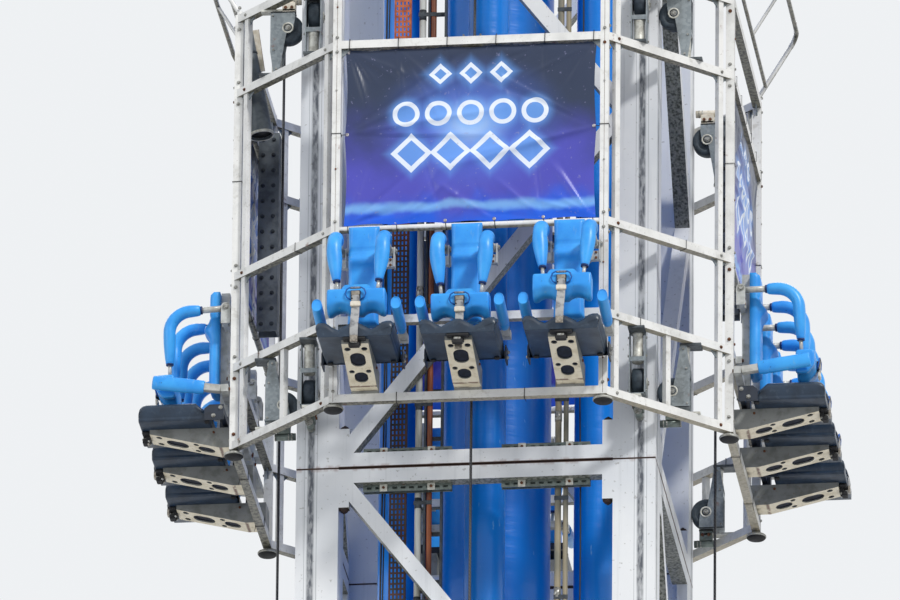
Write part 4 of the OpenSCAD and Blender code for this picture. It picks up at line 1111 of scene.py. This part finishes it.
def side_trim():
    """Bolts, gussets and ties of one side of the carriage, in the side's own frame."""
    shape = Shape()
    bolt_face = -FACE - 0.0002
    for x in (-1, 1):
        for name, z in RAIL_Z.items():
            for dz in (-0.046, 0.046):
                if name == "low" and dz < 0:
                    continue
                shape.bolt((x * POST_X, bolt_face, z + dz), FRONT, 0.007, bolt_finish(), 0.01, 0.006)
                shape.bolt((x * (POST_X + 0.0252), -POST_D, z + dz * 1.5), (x, 0, 0),
                           0.008, bolt_finish(), 0.011, 0.007)
            if name not in ("low", "back"):
                shape.gusset([(0.0, 0.0), (0.052, 0.0), (0.0, -0.052)], -x, 0.004,
                             move(x * (POST_X - RAIL / 2), -POST_D, z - RAIL / 2))
        for z in (0.2, 0.8, 1.45, 1.95, 2.48):
            shape.bolt((x * POST_X, bolt_face, z), FRONT, 0.006, bolt_finish(), head=0.005)
        for i in range(13):
            for y in (-1.345, -1.408):
                shape.bolt((x * 0.0552, y, 1.075 + 0.0985 * i), (x, 0, 0), 0.009, "steel", 0.013)
        shape.box((x * POST_X - 0.0011, -FACE - 0.0004, -0.02), (x * POST_X + 0.0011, -FACE + 0.002, 2.74),
                  "seam")
    for x, rail in ((-0.42, "low"), (0.33, "low"), (0.62, "seat"), (-0.1, "seat")):
        z = RAIL_Z[rail]
        shape.tie((x, -POST_D, z), 0.027, 0.001)
        shape.rod((x, -POST_D - 0.024, z - 0.027), (x + 0.014, -POST_D - 0.03, z - 0.062), 0.0016, "tie", 5)
    return shape.mesh("side_trim")


def corner_trim():
    """Bolts and gussets of one corner bay, in the bay's own frame."""
    shape = Shape()
    for post_x in (CORNER_POST_IN - CORNER_L / 2, CORNER_L / 2 - CORNER_POST_IN):
        for name, z in RAIL_Z.items():
            shape.bolt((post_x, -RAIL / 2 - 0.0002, z), FRONT, 0.007, bolt_finish(), 0.01, 0.006)
            if name != "low":
                for side in (-1, 1):
                    shape.gusset([(0.0, 0.0), (0.04, 0.0), (0.0, -0.04)], side, 0.003,
                                 move(post_x + side * 0.017, 0.0, z - RAIL / 2))
    for x, z in ((0.12, RAIL_Z["back"]), (-0.22, RAIL_Z["seat"])):
        shape.tie((x, 0, z), 0.027, 0.001)
    return shape.mesh("corner_trim")


def bumper_mesh():
    """Two buffers of one side: a pressed steel cup on a neck, with a domed rubber underside."""
    shape = Shape()
    for x in (-POST_X, POST_X):
        at = move(x, -POST_D, -RAIL / 2) @ X_DOWN
        shape.lathe([(0.0, 0.024), (0.01, 0.022), (0.014, 0.026), (0.017, 0.046), (0.021, 0.0565),
                     (0.027, 0.06), (0.034, 0.06), (0.036, 0.0575), (0.036, 0.05)], "cup", 36, at)
        shape.lathe([(0.034, 0.048), (0.0345, 0.056), (0.04, 0.056), (0.046, 0.05), (0.051, 0.036),
                     (0.053, 0.018), (0.0535, 0.003)], "rubber", 36, at)
    return shape.mesh("bumper_pair")


def add_fork(shape, unit, far, block):
    """One roller fork about its axle, +Z towards its frame rail and its bracket far on the other side."""
    eye = [(0.032 * cos(radians(a)), 0.032 * sin(radians(a))) for a in range(20, 190, 17)]
    plate = ([(0.04, -0.104), (0.04, -0.05)] + [q for q in eye if q[0] > -0.014]
             + [(-0.05, 0.284), (-0.084, 0.284), (-0.104, 0.15), (-0.104, -0.104)])
    on_edge = Matrix(((0, 0, 1, 0), (1, 0, 0, 0), (0, 1, 0, 0), (0, 0, 0, 1)))
    for side in (-1, 1):
        outward = (side, 0, 0)
        shape.plate(plate, -0.004, 0.004, "galvanised", unit @ move(side * 0.045, 0, 0) @ on_edge)
        hub = unit @ facing((side * 0.049, 0, 0), outward) @ X_UP
        shape.lathe([(0.0, 0.0345), (0.003, 0.034), (0.003, 0.025), (0.0, 0.0245)], "washer", 32, hub,
                    loop=True)
        shape.lathe([(0.0, 0.0248), (0.0016, 0.0246), (0.0016, 0.004)], "hub", 28, hub)
        shape.bolt((side * 0.0505, 0, 0), outward, 0.013, "zinc", 0.017, 0.007, unit)
        for y, z in ((-0.066, 0.262), (-0.084, 0.14), (-0.09, -0.08)):
            shape.bolt((side * 0.0492, y, z), outward, 0.007, "zinc", at=unit)
        for y in (0.02, -0.017):
            shape.bolt((side * 0.0312, y, -0.138), outward, 0.01, "rust", at=unit)
            shape.bolt((side * 0.02, -0.03 - y * 2, 0.014 - far), UP, 0.007, "zinc", at=unit)
    for half, y, z, mat, cut in (
            (0.041, (-0.104, -0.097), (0.102, 0.131), "galvanised", 0.001),
            (0.049, (-0.104, 0.04), (-0.104, -0.096), "galvanised", 0.001),
            # Top plate in dark hub steel: painted shade on a galvanised plate
            (0.049, (-0.1697, -0.044), (0.284, 0.3), "hub", 0.002),
            (0.03, (-0.037, 0.04), (-0.172, -0.104), block, 0.003),
            (0.034, (-0.04, 0.042), (-0.1135, -0.1038), "rubber", 0.002),
            (0.03, (-0.1647, 0.04), (-far, 0.014 - far), "washer", 0.002)):
        shape.box((-half, y[0], z[0]), (half, y[1], z[1]), mat, cut, unit)
    pin_z = -0.186
    shape.rod((0, 0.073, pin_z), (0, -0.05, pin_z), 0.022, block, 24, unit)
    for y in (-0.0505, 0.03, 0.05):
        shape.rod((0, y, pin_z), (0, y + 0.005, pin_z), 0.0235, "zinc", 20, unit)
    spring = unit @ move(0, -0.068, 0) @ X_UP
    cup = [(0.124, 0.03), (0.128, 0.0325), (0.146, 0.0325), (0.15, 0.0302), (0.268, 0.03), (0.273, 0.033),
           (0.285, 0.033)]
    shape.lathe(cup, "washer", 28, spring)
    shape.lathe([(0.1045, 0.026), (0.1045, 0.0335), (0.1225, 0.0335), (0.1225, 0.026)], "washer", 28, spring)
    shape.rod((-0.05, 0, 0), (0.05, 0, 0), 0.015, "zinc", 16, unit)


def fork_mesh():
    """Roller forks of one side: plates open at the wheel, web, spring cup, clamp block and bracket."""
    shape = Shape()
    for x in (-WHEEL_X, WHEEL_X):
        # Painted shade: the lower forks' clamp blocks and pins take the darker strut steel; the upper ones
        # stay cream.
        add_fork(shape, move(x, -WHEEL_D, AXLE_Z["lower"]), 0.14, "strut")
        add_fork(shape, move(x, -WHEEL_D, AXLE_Z["upper"]) @ Matrix.Rotation(pi, 4, "Y"), 0.13, "cream")
    return shape.mesh("forks")


def tube_trim():
    """Rim, a black disc inside it as painted shade of the open mouth, and rusty fin edge of the tapered tube
    at the left, over the plain solid.
    """
    shape = Shape()
    root = (side_turn(3) @ move(POST_X - 0.075, -FACE + 0.052, REST + 2.685)
            @ Matrix.Rotation(radians(188.5), 4, "X"))
    at = root @ X_UP
    shape.lathe([(0.674, 0.069), (0.6755, 0.0752), (0.6905, 0.0752), (0.6905, 0.0655), (0.6725, 0.064)],
                "washer", 40, at, loop=True)
    # Painted shade: a thin black disc just inside the rim stands for the dark inside of the mouth.
    shape.lathe([(0.6712, 0.002), (0.6712, 0.0637), (0.6716, 0.0637), (0.6716, 0.002)], "tie", 32, at)
    shape.lathe([(0.15, 0.0455), (0.15, 0.0478), (0.164, 0.0484), (0.164, 0.0461)], "steel", 32, at)
    shape.box((-0.0046, -0.0748, 0.0075), (0.0046, -0.036, 0.2786), "cream", 0.001, root)
    shape.box((-0.005, -0.0756, 0.007), (0.005, -0.0742, 0.279), "rust", 0, root)
    return shape.mesh("tube_trim")


place("tube_trim_left", tube_trim(), "carriage", "dark_steel")
trim, bay_trim, forks, buffers = side_trim(), corner_trim(), fork_mesh(), bumper_mesh()
for k, side in enumerate(SIDES):
    place(f"side_trim_{side}", trim, "carriage", "galvanised", on_carriage(k))
    place(f"bumpers_{side}", buffers, "carriage", "rubber", on_carriage(k), "bumpers")
    place(f"corner_trim_{side}", bay_trim, "carriage", "galvanised", corner_turn(k))
    place(f"forks_{side}", forks, "carriage", "galvanised", on_carriage(k), "roller_forks")


# ---- stage, light and camera


def make_camera():
    """Camera at the photograph's angle, far off with a long lens; the frame is 900 by 600."""
    turn, rise, roll = radians(6.86), radians(22.262), radians(0.554)
    focal_px, width_px, sensor, away = 17334.0, 900, 36.0, 102.663
    forward = Vector((-sin(turn) * cos(rise), cos(turn) * cos(rise), sin(rise)))
    right = Vector((cos(turn), sin(turn), 0))
    up = right.cross(forward)
    x_axis, y_axis = right * cos(roll) + up * sin(roll), up * cos(roll) - right * sin(roll)
    target = Vector((0, 0, REST + 1.2)) - x_axis * 0.285 - y_axis * 0.0034
    data = bpy.data.cameras.new("photo_camera")
    data.sensor_width = sensor
    data.lens = focal_px / width_px * sensor
    data.clip_start = 1.0
    data.clip_end = 400.0
    cam = new_object("photo_camera", data)
    basis = Matrix((x_axis, y_axis, -forward)).transposed().to_4x4()
    cam.matrix_world = Matrix.Translation(target - forward * away) @ basis
    bpy.context.scene.camera = cam


def make_stage():
    """Round pale floor, an even pale background and soft light."""
    p = Paint("stage_floor", rough=0.9)
    p.colour = p.mix(p.noise(3, 2), (0.8, 0.8, 0.8, 1.0), (0.77, 0.77, 0.77, 1.0))
    M["floor"] = p.done()
    ring = [(8.2 * cos(q), 8.2 * sin(q)) for q in turns(96)]
    floor = new_object("floor", Shape().plate(ring, -0.03, -0.0005, "floor").mesh("floor"))

    world = bpy.data.worlds.new("studio")
    bpy.context.scene.world = world
    world.use_nodes = True
    tree = world.node_tree
    tree.nodes.clear()
    rays = add_node(tree, "LightPath").outputs
    seen = rays["Is Camera Ray"]
    for ray in ("Is Transmission Ray", "Is Glossy Ray"):
        seen = add_node(tree, "Math", (seen, rays[ray]), operation="MAXIMUM").outputs[0]
    light = add_node(tree, "Background", ((0.97, 0.985, 1.0, 1.0), 0.5))
    back = add_node(tree, "Background", ((0.86, 0.88, 0.9, 1.0), 1.0))
    mix = add_node(tree, "MixShader", (seen, light.outputs[0], back.outputs[0]))
    add_node(tree, "OutputWorld", (mix.outputs[0],))

    for name, azimuth, rise, power, angle, tint in (
            ("key", 38, 42, 2.05, 7, (1.0, 0.985, 0.955)), ("fill", -50, 12, 0.62, 40, (0.93, 0.97, 1.0)),
            ("rear", 190, 35, 0.6, 30, (1.0, 1.0, 1.0))):
        data = bpy.data.lights.new(name, "SUN")
        data.energy = power
        data.angle = radians(angle)
        data.color = tint
        a, e = radians(azimuth), radians(rise)
        source = Vector((sin(a) * cos(e), -cos(a) * cos(e), sin(e)))
        new_object(name, data).matrix_world = facing(source * 20, source)


make_camera()
make_stage()
bpy.context.scene.view_settings.view_transform = "Standard"
